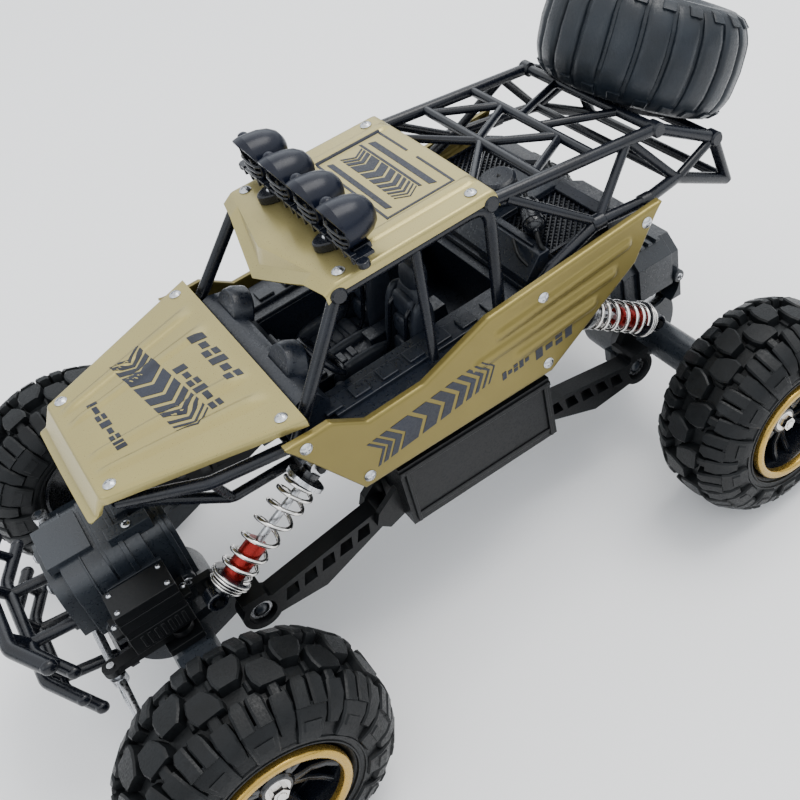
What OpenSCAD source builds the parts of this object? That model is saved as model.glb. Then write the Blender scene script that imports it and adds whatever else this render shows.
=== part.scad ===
// Remote-controlled rock crawler: live axles on trailing arms, steered front
// axle, spring dampers, sheet-metal panels on a tube cage.
// X points forward, Y to the car's left, Z up; the ground is z = 0.

/* [Wheels] */
// Outer diameter of a tyre over the lugs
tyre_d = 96; // [92:1:100]
// Width of a tyre
tyre_w = 44; // [40:1:46]
// Distance between the axles
wheelbase = 244; // [240:1:260]
// Distance between the centre planes of the left and right tyres
track = 186; // [184:1:200]
// Lugs round one row of a tyre
lug_count = 14; // [10:1:18]
// Outer radius of the rim barrel
rim_r = 24; // [23:0.5:25]

/* [Suspension] */
// Half distance between the left and right trailing arms
arm_y = 42; // [41:0.5:43]
// Height of the arm's ball joint at the axle
ball_z = 56; // [54:0.5:58]
// Distance of the ball joint from the wheel centre, towards the middle of the car
ball_back = 27; // [26:0.5:28]
// Distance of an arm's chassis pivot from the middle of the wheelbase
pivot_x = 38; // [36:1:40]
// Height of an arm's chassis pivot
pivot_z = 66; // [64:1:68]
// Wire radius of a damper spring
wire_r = 0.8; // [0.6:0.1:1]
// Turns of a damper spring
spring_turns = 7; // [5:1:9]

/* [Steering] */
// Half distance between the kingpins
kingpin_y = 66; // [65:0.5:67]
// Length of a knuckle's steering arm, which is also the length of the servo lever
steer_arm = 27; // [27:0.5:28]
// Distance of the steering servo's shaft from the middle of the car
lever_y = 35; // [34:0.5:36]

/* [Drive] */
// Teeth of a motor pinion
pinion_teeth = 12; // [12:1:12]
// Teeth of an axle gear
gear_teeth = 32; // [32:1:32]
// Gear module
gear_module = 1; // [1:0.1:1]

/* [Body] */
// Thickness of a metal panel
panel_t = 1.2; // [1:0.1:1.6]
// Half width over the side panels
panel_y = 57; // [56:0.5:58]
// Height of the roof panel's top
roof_z = 174; // [170:1:178]
// Radius of a cage tube
cage_r = 2.4; // [2:0.1:2.8]
// Tilt of the spare tyre's axis behind the vertical
spare_tilt = 32; // [30:1:38]
// Nose-down angle of the cage, cockpit and panels over the level chassis tub
body_pitch = 3.5; // [3:0.25:4]

/* [Hidden] */
$fn = 48;

bar_sides = 12;                     // tubes are twelve-sided
fit = 0.05;                         // radial clearance of a running fit
axle_x = wheelbase / 2;             // front axle, from the middle of the wheelbase
axle_z = tyre_d / 2;                // height of the wheel centres
tyre_y = track / 2;                 // centre plane of a tyre
ball_x = axle_x - ball_back;        // arm ball joint
lug_x = axle_x - 15;                // lower eye of a damper
lug_z = 76;
damper_y = arm_y + 2.5;             // plane of the dampers
top_x = [55, 64];                   // upper eyes: front, rear
top_z = 108;
gear_distance = gear_module * (pinion_teeth + gear_teeth) / 2;
motor_lift = 68;                    // direction from the axle to the motor, above horizontal
motor_x = axle_x + gear_distance * cos(motor_lift);
motor_z = axle_z + gear_distance * sin(motor_lift);
ring_y = 22.5;                      // outer face of a bead ring, from the tyre's centre
bumper_x = axle_x + 51;             // foremost tube of the bumper
bumper_r = 2.8;
pitch_z = 90;                       // height of the line that the upper body is pitched about
spare_x = -151.5;                   // spare tyre, rail ends: in the unpitched body
spare_z = 168.5;
spare_r = tyre_d / 2 - 5;
spare_w = tyre_w / 2 - 0.5;
shoulder = 5;                       // rounding of the spare tyre
rear_angle = spare_tilt - body_pitch;
rear_end = spare_x * cos(body_pitch) + (spare_z - pitch_z) * sin(body_pitch)
           - (spare_r - shoulder) * cos(rear_angle) - (spare_w - shoulder) * sin(rear_angle) - shoulder;
frame_shift = -(bumper_x + bumper_r * 1.12 + rear_end) / 2;  // puts the overall middle at x = 0

gold = [0.78, 0.66, 0.33];
black = [0.07, 0.07, 0.08];
grey = [0.2, 0.21, 0.24];
steel = [0.75, 0.76, 0.78];
red = [0.65, 0.08, 0.06];
rubber = [0.09, 0.09, 0.1];

// ---------- shared shapes ----------

module place() translate([frame_shift, 0, 0]) children();

// upper body, nose down over the chassis tub
module place_body() place() translate([0, 0, pitch_z]) rotate([0, body_pitch, 0])
    translate([0, 0, -pitch_z]) children();

module on_side(s) {
    if (s > 0) children();
    else mirror([0, 1, 0]) children();
}

module both_sides() {
    children();
    mirror([0, 1, 0]) children();
}

// front end as drawn, rear end mirrored
module at_end(e) {
    if (e > 0) children();
    else mirror([1, 0, 0]) children();
}

// round bar from point a to point b
module bar(a, b, r) {
    d = b - a;
    translate(a)
        rotate([0, acos(d[2] / norm(d)), atan2(d[1], d[0])])
            cylinder(h = norm(d), r = r, $fn = bar_sides);
}

// bent tube with a slightly thicker ball at each bend
module pipe(p, r) {
    for (i = [0:len(p) - 2]) bar(p[i], p[i + 1], r);
    for (i = [1:1:len(p) - 2]) translate(p[i]) sphere(r * 1.12, $fn = 16);
}

// cylinder along Y from y0 to y1
module ycyl(x, y0, y1, z, r) translate([x, y1, z]) rotate([90, 0, 0]) cylinder(h = y1 - y0, r = r);

// plate in the XZ plane from y0 to y1
module xz_plate(y0, y1) translate([0, y1, 0]) rotate([90, 0, 0]) linear_extrude(y1 - y0) children();

module block(x0, x1, y0, y1, z0, z1) translate([x0, y0, z0]) cube([x1 - x0, y1 - y0, z1 - z0]);

function involute(rb, t) = [rb * (cos(t) + t * PI / 180 * sin(t)), rb * (sin(t) - t * PI / 180 * cos(t))];
function turned(p, a) = [p[0] * cos(a) - p[1] * sin(a), p[0] * sin(a) + p[1] * cos(a)];
function roll(rb, r) = sqrt(max(0, r * r / rb / rb - 1)) * 180 / PI;

// spur gear outline with thinned teeth for backlash; tooth 0 is centred on +X
module gear_outline(teeth, m) {
    rp = m * teeth / 2;
    rb = rp * cos(25);
    ra = rp + 0.8 * m;
    rf = rp - 1.15 * m;
    t_pitch = roll(rb, rp);
    half = 90 / teeth * 0.84 + (t_pitch - 25);
    flank = [for (i = [0:4]) involute(rb, roll(rb, max(rb, rf) + (ra - max(rb, rf)) * i / 4))];
    lower = [for (p = flank) turned(p, -half)];
    upper = [for (i = [4:-1:0]) [lower[i][0], -lower[i][1]]];
    root = turned([rf, 0], -half);
    tooth = concat([root], lower, upper, [[root[0], -root[1]]]);
    polygon([for (k = [0:teeth - 1]) for (p = tooth) turned(p, k * 360 / teeth)]);
}

// ---------- wheels, about the Y axis at the origin, outer side at +Y ----------

module lug_ring(turn) {
    step = 360 / lug_count;
    half = step * 0.26;
    r = tyre_d / 2;
    polygon([for (k = [0:lug_count - 1]) for (q = [[-half * 1.25, r - 5.5], [-half, r / cos(half)],
             [half, r / cos(half)], [half * 1.25, r - 5.5]])
             turned([0, -q[1]], q[0] + k * step + turn)]);
}

module tyre_shape() {
    hw = tyre_w / 2;
    r = tyre_d / 2;
    difference() {
        union() {
            rotate([-90, 0, 0]) rotate_extrude($fn = 96)
                polygon([[rim_r + 0.1, -hw + 5], [rim_r + 3, -hw + 1.5], [r - 15, -hw], [r - 7, -hw + 3],
                         [r - 4.5, -hw + 8], [r - 4.5, hw - 8], [r - 7, hw - 3], [r - 15, hw],
                         [rim_r + 3, hw - 1.5], [rim_r + 0.1, hw - 5]]);
            translate([0, -1, 0]) rotate([90, 0, 0]) linear_extrude(hw - 5) lug_ring(0);
            translate([0, hw - 4, 0]) rotate([90, 0, 0]) linear_extrude(hw - 5) lug_ring(180 / lug_count);
        }
        rotate([90, 0, 0]) cylinder(h = tyre_w + 4, r = rim_r + 0.1, center = true, $fn = 96);
        // air space between the beads
        rotate([-90, 0, 0]) rotate_extrude($fn = 96)
            polygon([[rim_r - 1, -hw + 10], [rim_r + 4, -hw + 5], [r - 15, -hw + 4], [r - 9, -hw + 9],
                     [r - 9, hw - 9], [r - 15, hw - 4], [rim_r + 4, hw - 5], [rim_r - 1, hw - 10]]);
    }
}

module rim_shape() {
    difference() {
        union() {
            rotate([-90, 0, 0]) rotate_extrude($fn = 72)
                polygon([[rim_r - 2, -18], [rim_r, -18], [rim_r, 19], [rim_r - 2, 19]]);
            ycyl(0, 7.5, 12, 0, rim_r - 1, $fn = 72);
            ycyl(0, -12, 14, 0, 6.5);
        }
        ycyl(0, -13, 11, 0, 4 + fit);
        // wide windows between the twin spokes and a slot within each pair
        for (k = [0:5]) rotate([0, k * 60, 0]) xz_plate(7, 12.5) {
            polygon([turned([9.5, 0], -8), turned([20.5, 0], -17), turned([20.5, 0], 17), turned([9.5, 0], 8)]);
            polygon([turned([11, 0], 27.5), turned([20.5, 0], 27), turned([20.5, 0], 33), turned([11, 0], 32.5)]);
        }
    }
    ycyl(0, 13.8, 17.5, 0, 3.2, $fn = 6);
}

module bead_ring_shape() {
    rotate([-90, 0, 0]) rotate_extrude($fn = 72)
        polygon([[rim_r - 5, 19.05], [rim_r, 19.05], [rim_r, 21], [rim_r - 0.8, 22.5], [rim_r - 4, 22.5],
                 [rim_r - 5, 21.5]]);
}

module at_wheel(e, s) translate([e * axle_x, s * tyre_y, axle_z]) on_side(s) children();

// ---------- suspension, drawn for the front end ----------

// trailing arm: eye at the chassis, ladder web, ring round the ball, lug for the damper
module arm_shape() {
    y0 = arm_y - 4;
    y1 = arm_y + 4;
    difference() {
        union() {
            xz_plate(y0, y1) polygon([[pivot_x, pivot_z + 4.5], [ball_x, ball_z + 5], [ball_x, ball_z - 5],
                [ball_x - 26, ball_z - 7], [pivot_x, pivot_z - 4.5]]);
            ycyl(pivot_x, y0, y1, pivot_z, 4.8);
            ycyl(ball_x, y0, y1, ball_z, 8);
            block(ball_x - 4, ball_x + 6, arm_y - 9, y1, ball_z + 6, ball_z + 9);
            xz_plate(arm_y - 9, arm_y - 5.6) polygon([[ball_x - 4, ball_z + 6], [ball_x + 6, ball_z + 6],
                [lug_x + 4, lug_z - 4], [lug_x + 4, lug_z + 3], [lug_x - 3, lug_z + 3]]);
            ycyl(lug_x, arm_y - 9, damper_y + 4, lug_z, 1.6);
        }
        ycyl(pivot_x, y0 - 1, y1 + 1, pivot_z, 2 + fit);
        ycyl(ball_x, y0 - 1, y1 + 1, ball_z, 5.6);
        for (i = [0:4]) translate([pivot_x + 8 + i * 8.4, 0, pivot_z - 1 - i * 1.5])
            xz_plate(y0 - 1, y1 + 1) polygon([[0, -4], [6, -4.6], [4, 1.6], [-1, 2]]);
    }
}

// damper parts lie along +X from the upper eye, in the plane y = damper_y
module along_damper(e) {
    dx = lug_x - top_x[e > 0 ? 0 : 1];
    translate([top_x[e > 0 ? 0 : 1], damper_y, top_z])
        rotate([0, atan2(top_z - lug_z, dx), 0]) children();
}

function damper_len(e) = norm([lug_x - top_x[e > 0 ? 0 : 1], top_z - lug_z]);

module rod_shape(e) {
    len_d = damper_len(e);
    along_damper(e) difference() {
        union() {
            ycyl(0, -3, 3, 0, 3.8);
            rotate([0, 90, 0]) cylinder(h = len_d - 22, r = 1.5);
            translate([6, 0, 0]) rotate([0, 90, 0]) cylinder(h = 1.8, r = 7.6);
            translate([2, 0, 0]) rotate([0, 90, 0]) cylinder(h = 6, r = 2.6);
        }
        ycyl(0, -4, 4, 0, 1.6 + fit);
    }
}

module damper_shape(e) {
    len_d = damper_len(e);
    along_damper(e) difference() {
        union() {
            ycyl(len_d, -3, 3, 0, 4);
            translate([len_d - 26, 0, 0]) rotate([0, 90, 0]) cylinder(h = 24, r = 4);
            translate([len_d - 10.5, 0, 0]) rotate([0, 90, 0]) cylinder(h = 2, r = 7.8);
            translate([len_d - 7.5, 0, 0]) rotate([0, 90, 0]) cylinder(h = 2, r = 6.4);
        }
        ycyl(len_d, -4, 4, 0, 2.5);
        translate([len_d - 27, 0, 0]) rotate([0, 90, 0]) cylinder(h = 20, r = 1.5 + fit);
    }
}

// helical wire between the two spring seats
module spring_shape(e) {
    n = 14;
    sides = 6;
    coil_r = 6.2;
    x0 = 7.8 + wire_r + 0.1;
    x1 = damper_len(e) - 10.5 - wire_r - 0.1;
    rings = spring_turns * n;
    pitch = (x1 - x0) / spring_turns;
    lean = atan2(pitch, 2 * PI * coil_r);
    pts = [for (i = [0:rings]) let (a = i * 360 / n) for (j = [0:sides - 1]) let (b = j * 360 / sides)
        [x0 + (x1 - x0) * i / rings + wire_r * sin(b) * cos(lean),
         (coil_r + wire_r * cos(b)) * cos(a) + wire_r * sin(b) * sin(lean) * sin(a),
         (coil_r + wire_r * cos(b)) * sin(a) - wire_r * sin(b) * sin(lean) * cos(a)]];
    sides_f = [for (i = [0:rings - 1]) for (j = [0:sides - 1]) let (k = (j + 1) % sides)
        [i * sides + j, i * sides + k, (i + 1) * sides + k, (i + 1) * sides + j]];
    caps = [[for (j = [sides - 1:-1:0]) j], [for (j = [0:sides - 1]) rings * sides + j]];
    along_damper(e) polyhedron(points = pts, faces = concat(sides_f, caps), convexity = 8);
}

// bush in the arm's ring: a short sleeve that the stud's ball turns in
module bush_shape() translate([ball_x, arm_y, ball_z]) difference() {
    ycyl(0, -2.2, 2.2, 0, 4.3);
    ycyl(0, -3, 3, 0, 3.2 + fit);
}

// ---------- axles, drawn for the front end ----------

// ball stud on a bracket behind the axle tube; the plain stud has a bigger ball
module ball_stud(s, r) on_side(s) {
    xz_plate(arm_y - 14.5, arm_y - 10.5) polygon([[axle_x - 6, axle_z + 7], [ball_x - 4, ball_z + 3],
        [ball_x - 4, ball_z - 4], [axle_x - 6, axle_z - 6]]);
    ycyl(ball_x, arm_y - 14.5, arm_y - 1, ball_z, 1.6);
    translate([ball_x, arm_y, ball_z]) sphere(r);
}

module gear_case_shape() {
    difference() {
        union() {
            ycyl(axle_x, -50, 50, axle_z, 8.5);
            ycyl(axle_x, -2, 18.4, axle_z, 20);
            block(axle_x - 14, axle_x + 22, -22, 22, axle_z + 8.8, axle_z + 17.5);
        }
        ycyl(axle_x, -51, 51, axle_z, 5.2);
        ycyl(axle_x, 4, 17, axle_z, 18);
        ycyl(motor_x, -22.5, 22.5, motor_z, 13.6);
    }
}

// steering yoke at each end of the front axle
module yoke() {
    difference() {
        union() {
            for (h = [12, -16]) block(axle_x - 7, axle_x + 7, 50, 66, axle_z + h, axle_z + h + 4);
            for (h = [12, -16]) translate([axle_x, kingpin_y, axle_z + h]) cylinder(h = 4, r = 5);
            block(axle_x - 7, axle_x + 7, 49, 52.5, axle_z - 16, axle_z + 16);
        }
        translate([axle_x, kingpin_y, axle_z - 20]) cylinder(h = 40, r = 2.5 + fit);
        ycyl(axle_x, 48, 54, axle_z, 5.2);
    }
}

// motor housing with rounded upper edges and stepped seams
module cover_shape(x0, x1, top) {
    h = top - (axle_z + 17.6);
    difference() {
        union() {
            translate([x0, 0, axle_z + 17.6]) rotate([90, 0, 90]) linear_extrude(x1 - x0)
                union() {
                    translate([-21, 0]) square([42, h - 9]);
                    translate([-12, 0]) square([24, h]);
                    for (s = [-1, 1]) translate([s * 12, h - 9]) circle(9);
                }
            for (k = [[x0 + 9, x0 + 12], [x1 - 15, x1 - 12]])
                block(k[0], k[1], -22, 22, axle_z + 17.6, top - 8);
        }
        block(x0 + 2.5, x1 - 2.5, -18.5, 18.5, axle_z + 17, top - 10);
        ycyl(motor_x, -18.6, 18.6, motor_z, 13.6);
    }
    for (s = [-1, 1]) for (x = [x0 + 4, x1 - 6])
        translate([x, s * 21.2, axle_z + 22]) rotate([s * -90, 0, 0]) cylinder(h = 1.6, r = 2.4);
}

module motor_shape() {
    ycyl(motor_x, -18, 8, motor_z, 12);
    ycyl(motor_x, 8, 9.7, motor_z, 4);
    ycyl(motor_x, -18.4, -18, motor_z, 4);
    ycyl(motor_x, 9.7, 17, motor_z, 1);
}

module pinion_shape() {
    translate([motor_x, 16, motor_z]) rotate([90, 0, 0]) difference() {
        rotate(180 + motor_lift + 180 / pinion_teeth)
            linear_extrude(6) gear_outline(pinion_teeth, gear_module);
        translate([0, 0, -1]) cylinder(h = 8, r = 1 + fit);
    }
}

module axle_gear() {
    translate([axle_x, 15.5, axle_z]) rotate([90, 0, 0]) rotate(motor_lift)
        linear_extrude(5) gear_outline(gear_teeth, gear_module);
}

// ---------- chassis body ----------

module chassis_tub() color(black) place() {
    difference() {
        union() {
            block(-33, 33, -40, 40, 60, 92);
            both_sides() block(-40, 31, 46, panel_y, 64, 93);
            both_sides() block(-33, 31, 40, 46, 74, 92);
            for (e = [1, -1]) at_end(e) both_sides() {
                // ears of the arm pivot
                xz_plate(arm_y - 8, arm_y - 4.3) polygon([[30, 60], [pivot_x, 60], [pivot_x + 5, pivot_z],
                    [pivot_x + 3, pivot_z + 5], [30, 80]]);
                xz_plate(arm_y + 4.3, arm_y + 7) polygon([[24, 66], [pivot_x, 61], [pivot_x + 5, pivot_z],
                    [pivot_x + 3, pivot_z + 5], [24, 84]]);
                ycyl(pivot_x, arm_y - 8, arm_y + 7, pivot_z, 2);
            }
            for (e = [1, -1]) at_end(e) both_sides() {
                // damper tower
                xz_plate(arm_y - 11, arm_y - 6) polygon([[16, 80], [34, 80],
                    [top_x[e > 0 ? 0 : 1] + 5, top_z - 6], [top_x[e > 0 ? 0 : 1] + 5, top_z + 4],
                    [top_x[e > 0 ? 0 : 1] - 6, top_z + 4], [16, 98]]);
                ycyl(top_x[e > 0 ? 0 : 1], arm_y - 11, damper_y + 4.5, top_z, 1.6);
            }
        }
        block(-30, 30, -29, 29, 62.5, 93);
        block(-26, 26, -20, 20, 59, 63);
        both_sides() block(-37, 28, 49, 54.5, 67, 94);
        block(-28.5, -20.5, 24, 28, 59, 63);
    }
    // hinge eyes and roof ledge of the battery door
    for (y = [-19, 15]) difference() {
        block(-31, -27, y, y + 4, 56, 60);
        ycyl(-29, y - 1, y + 5, 58, 1 + fit);
    }
    // side box lids
    both_sides() block(-40, 31, 46, panel_y, 93, 95);
}

module battery_cover() color(grey) place() {
    block(-25.6, 25.6, -19.6, 19.6, 60.2, 62.2);
    block(-28.6, 27, -14.8, 14.8, 58.2, 60);
    for (x = [-12, 0, 12]) block(x - 1, x + 1, -12, 12, 57.4, 58.2);
    ycyl(-29, -20, 20, 58, 1);
    block(-29, -26, -14.6, 14.6, 58, 59);
}

module power_switch() color(red) place() block(-27.9, -24.9, 24.6, 27.4, 58.4, 66);

module battery_pack() color([0.1, 0.3, 0.6]) place() {
    for (y = [-13.5, 0, 13.5]) translate([-24, y, 70.6]) rotate([0, 90, 0]) cylinder(h = 48, r = 6.7);
    block(-25, -24, -20, 20, 64, 77);
}

module receiver_board() color([0.05, 0.35, 0.15]) place() {
    block(-24, 20, -26, 26, 84, 85.6);
    block(-16, -4, -6, 6, 85.6, 88);
    block(4, 12, -20, -10, 85.6, 90);
    block(2, 14, 8, 20, 85.6, 90);
}

module cockpit_tub() color([0.1, 0.11, 0.13]) place_body() {
    difference() {
        union() {
            block(-44, 46, -30.8, 30.8, 95.2, 123);
            // deck above the damper towers
            block(-58, 60, -52, 52, 122, 124.5);
        }
        block(-42, 44, -29, 29, 97.2, 126);
    }
    // dashboard and binnacle
    difference() {
        translate([48, 0, 124.2]) rotate([90, 0, 0]) linear_extrude(83, center = true)
            polygon([[-3, 0], [8, 0], [8, 8], [0, 14], [-8, 12], [-9, 6]]);
        translate([40, 19, 134]) rotate([0, 60, 0]) cylinder(h = 6, r = 5, center = true);
    }
    // centre console
    block(-30, 40, -3.5, 3.5, 97, 109);
    // bucket seats: base, side bolsters, back and headrest
    both_sides() translate([-6, 17, 96.9]) {
        block(-3, 26, -10, 10, 0, 9);
        for (y = [-10.5, 7.5]) block(2, 25, y, y + 3, 0, 14);
        rotate([0, -16, 0]) {
            block(-6, 1, -11, 11, 3, 40);
            block(-5, 2.5, -6, 6, 39, 48);
        }
    }
}

module engine_cover() color([0.12, 0.13, 0.15]) place_body() {
    difference() {
        translate([0, 47, 0]) rotate([90, 0, 0]) linear_extrude(94)
            polygon([[-104, 124.8], [-46, 124.8], [-46, 130], [-54, 139], [-90, 139], [-104, 132]]);
        for (k = [0:5]) block(-86 + k * 5, -83 + k * 5, -34, -8, 137.5, 140);
        for (k = [0:5]) block(-86 + k * 5, -83 + k * 5, 8, 34, 137.5, 140);
    }
    block(-104, -58, -31, 31, 120, 124.8);
    translate([-66, 0, 139]) cylinder(h = 6, r = 7);
    translate([-66, 0, 145]) cylinder(h = 2, r = 5);
}

module steering_wheel() color(black) place_body() translate([30, 19, 131]) rotate([0, -60, 0]) {
    rotate_extrude($fn = 48) translate([10, 0]) circle(1.3, $fn = 16);
    for (a = [90, 210, 330]) rotate(a) translate([0, -1, -0.8]) cube([9.6, 2, 1.6]);
    translate([0, 0, -0.8]) cylinder(h = 2.4, r = 3);
    translate([0, 0, -10.5]) cylinder(h = 10, r = 1.4);
}

// run of cage tube; each length reaches a little past its bends
module tube_run(p, r) {
    for (i = [0:len(p) - 2]) {
        d = p[i + 1] - p[i];
        past = 0.6 * r * d / norm(d);
        bar(p[i] - (i > 0 ? past : [0, 0, 0]), p[i + 1] + (i < len(p) - 2 ? past : [0, 0, 0]), r);
    }
}

// moulded cage sections, butted with a hairline gap where they are screwed together
module roll_cage() color(black) place_body() {
    top = roof_z - 5.2;
    low = 128;
    cross_r = cage_r - 0.3;
    brace_r = cage_r - 0.6;
    gap = 0.15;
    both_sides() union() {
        // A pillar, roof rail, B pillar and door brace
        tube_run([[58, 47.3, low], [22, 40, top], [-42, 40, top], [-30, 49.5, low]], cage_r);
        bar([-10, 40, top], [0, 49.5, low], brace_r);
    }
    both_sides() union() {
        // rear rail and hoop, and the rail along the top of the side panel
        tube_run([[-46, 40.1, top - 0.5], [-120, 41, top - 10], [-147, 44, top - 27], [-153, 44, 118]], cage_r);
        tube_run([[-50, 49.5, low], [-56, 50, low + 7], [-80, 50, 142], [-104, 50, 138], [-124, 46, 136],
                  [-154, 44, 118.5]], cage_r);
        // braces between the rails
        bar([-49, 41, top - 2], [-80, 50, 142], brace_r);
        bar([-106, 40.8, top - 8.2], [-90, 50, 140.3], brace_r);
        bar([-120, 41, top - 10], [-131, 45.5, 131.7], brace_r);
        bar([-147, 44, top - 27], [-132, 45.4, 131], brace_r);
    }
    // frame under the hood
    union() {
        both_sides() {
            tube_run([[62, 46.8, low + 0.3], [88, 43, 130], [116, 26, 130]], cage_r);
            tube_run([[60.3, 33.5, 109.5], [84, 36, 112], [104, 30, 124], [115, 26.5, 129]], cross_r);
            bar([84, 36, 112], [88, 43, 130], brace_r - 0.2);
        }
        bar([116, -27, 130], [116, 27, 130], cross_r);
    }
    // cross bars
    for (p = [[22, 40, top], [-153, 44, 118.6], [-124, 46, 136]]) {
        y = p[1] - cage_r - gap;
        bar([p[0], -y, p[2]], [p[0], y, p[2]], cross_r);
    }
    // bracing behind the roof, and the spare carrier: cross bars, plate and hub pin
    union() {
        for (p = [[-42, 40, top], [-66, 40.3, top - 3.1], [-90, 40.6, top - 6.2], [-120, 41, top - 10],
                  [-147, 44, top - 27]]) {
            y = p[1] - cage_r - gap;
            bar([p[0], -y, p[2]], [p[0], y, p[2]], cross_r);
        }
        for (s = [-1, 1]) {
            bar([-42, s * 29, top], [-66, s * 0.6, top - 3.1], brace_r - 0.2);
            bar([-66, s * 1.2, top - 3.1], [-90, s * 18, top - 6.2], brace_r - 0.2);
            bar([-66, s * 35, top - 3.1], [-90, s * 20, top - 6.2], brace_r - 0.2);
            bar([-90, s * 6, top - 6.2], [-120, s * 20, top - 10], brace_r - 0.2);
        }
        translate([spare_x, 0, spare_z]) rotate([0, -spare_tilt, 0]) {
            translate([0, 0, -spare_w - 4]) cylinder(h = 3.8, r = 20);
            translate([0, 0, -spare_w - 3]) cylinder(h = 13, r = 3);
        }
    }
}

module hood_panel() color(gold) place_body() {
    tilt = atan2(3, 68);
    translate([52, 0, 141]) rotate([0, tilt, 0]) {
        linear_extrude(panel_t) polygon([[0, -55], [0, 55], [68, 30.5], [68, -30.5]]);
        // raised ridges that draw together towards the nose
        for (s = [-1, 1]) for (y = [[16, 11], [32, 20]])
            translate([0, 0, panel_t]) linear_extrude(0.8)
                polygon([[6, s * y[0]], [6, s * (y[0] + 4)], [62, s * (y[1] + 2.5)], [62, s * y[1]]]);
    }
    // folded nose
    xz_plate(-30, 30) polygon([[118.8, 138.6], [118.8 + panel_t, 138.6], [125 + panel_t, 127], [125, 127]]);
}

module roof_panel() color(gold) place_body() {
    edge = 41 + panel_t;
    translate([0, 0, roof_z - panel_t]) linear_extrude(panel_t)
        polygon([[-44 - panel_t, -edge], [-44 - panel_t, edge], [24, edge], [24, -edge]]);
    for (s = [-1, 1]) for (y = [12, 26])
        translate([-40, s * y - 1.5, roof_z - 0.2]) cube([41, 3, 1]);
    both_sides() block(-42, 24, 41, edge - 0.2, roof_z - 2.4, roof_z - 0.5);
    block(-44 - panel_t / 2, -44 + panel_t / 2, -38, 38, roof_z - 2.4, roof_z - 0.5);
    // visor that falls away to a point in front
    translate([22, 0, roof_z - panel_t - 0.3]) rotate([0, 24, 0]) linear_extrude(panel_t)
        polygon([[0, -40], [0, 40], [5, 38.5], [17, 0], [5, -38.5]]);
}

module side_outline() polygon([[53, 137], [46, 137], [34, 128], [10, 128], [-21, 138], [-106, 141],
    [-89, 120], [-42, 95.5], [44, 100], [64, 138]]);

side_screws = [[57, 133.5], [41, 105], [-45, 132], [-41, 101], [-97, 135.5]];
hood_screws = [[114.5, 27.2], [58, 47.7]];
roof_screws = [[17.6, 37], [-37.6, 37]];

module side_panel(s) on_side(s) {
    difference() {
        xz_plate(panel_y, panel_y + panel_t) side_outline();
        for (p = side_screws) ycyl(p[0], panel_y - 1, panel_y + panel_t + 1, p[1], 1.4);
    }
    // pressed ribs behind the door
    for (k = [0:2]) xz_plate(panel_y + panel_t, panel_y + panel_t + 0.8)
        polygon([[-52 - k * 3, 116 + k * 7.5], [-86 - k * 3, 121.5 + k * 6.6], [-87 - k * 3, 124 + k * 6.6],
                 [-53 - k * 3, 119 + k * 7.5]]);
}

module left_side_panel() color(gold) place_body() side_panel(1);
module right_side_panel() color(gold) place_body() side_panel(-1);

module screw() {
    difference() {
        translate([0, 0, -1.6]) intersection() {
            sphere(3);
            translate([0, 0, 1.7]) cylinder(h = 3, r = 2.4);
        }
        for (a = [0, 90]) rotate(a) translate([-1.4, -0.3, 0.8]) cube([2.8, 0.6, 1]);
    }
    translate([0, 0, -4]) cylinder(h = 4.3, r = 1.2);
}

module panel_screws() color(steel) place_body() both_sides() {
    for (p = side_screws) translate([p[0], panel_y + panel_t, p[1]]) rotate([-90, 0, 0]) screw();
    for (p = hood_screws) translate([p[0], p[1], 142.25 - (p[0] - 52) * 3 / 68]) screw();
    for (p = roof_screws) translate([p[0], p[1], roof_z]) screw();
}

module light_bar() color(black) place_body() {
    both_sides() {
        translate([8.5, 22, roof_z]) cylinder(h = 3, r = 5.5);
        translate([8.5, 22, roof_z + 3]) cylinder(h = 2.2, r = 3);
    }
    difference() {
        block(1.5, 13.5, -45, 45, roof_z + 4.6, roof_z + 7);
        for (y = [-33, -11, 11, 33]) block(3.5, 11.5, y - 7, y + 7, roof_z + 4, roof_z + 8);
    }
    for (y = [-33, -11, 11, 33]) translate([7.5, y, roof_z + 14.5]) {
        difference() {
            sphere(9.4);
            translate([2, -12, -12]) cube([12, 24, 24]);
        }
        translate([-1, 0, 0]) rotate([0, 90, 0]) difference() {
            cylinder(h = 5, r = 9.8);
            translate([0, 0, 3]) cylinder(h = 3, r = 8.6);
        }
        translate([-2, -3, -9.9]) cube([3.8, 6, 4]);
    }
}

module light_lenses() color([0.85, 0.87, 0.9]) place_body() for (y = [-33, -11, 11, 33])
    translate([9.55, y, roof_z + 14.5]) rotate([0, 90, 0]) cylinder(h = 1.6, r = 8.5);

module spare_tyre() color(rubber) place_body() translate([spare_x, 0, spare_z]) rotate([0, -spare_tilt, 0]) {
    w = spare_w;
    r = spare_r;
    rotate_extrude($fn = 96) difference() {
        union() {
            translate([12, -w]) square([r - 12 - shoulder, 2 * w]);
            translate([12, -w + shoulder]) square([r - 12, 2 * (w - shoulder)]);
            for (s = [-1, 1]) translate([r - shoulder, s * (w - shoulder)]) circle(shoulder, $fn = 24);
        }
        for (z = [-12, -4, 4, 12]) translate([r - 1, z - 0.6]) square([2, 1.2]);
        translate([11, w - 9]) square([9, 10]);
        translate([11, -w - 1]) square([9, 10]);
    }
    cylinder(h = 2 * w - 22, r = 12.2, center = true);
}

// ---------- axles ----------

module front_gear_case() color(grey) place() {
    gear_case_shape();
    both_sides() yoke();
    ball_stud(1, 3.2);
    ball_stud(-1, 4.3);
}

module front_gear_cover() color(grey) place() cover_shape(axle_x - 16, axle_x + 30, 99);
module front_motor() color(steel) place() motor_shape();

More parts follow.
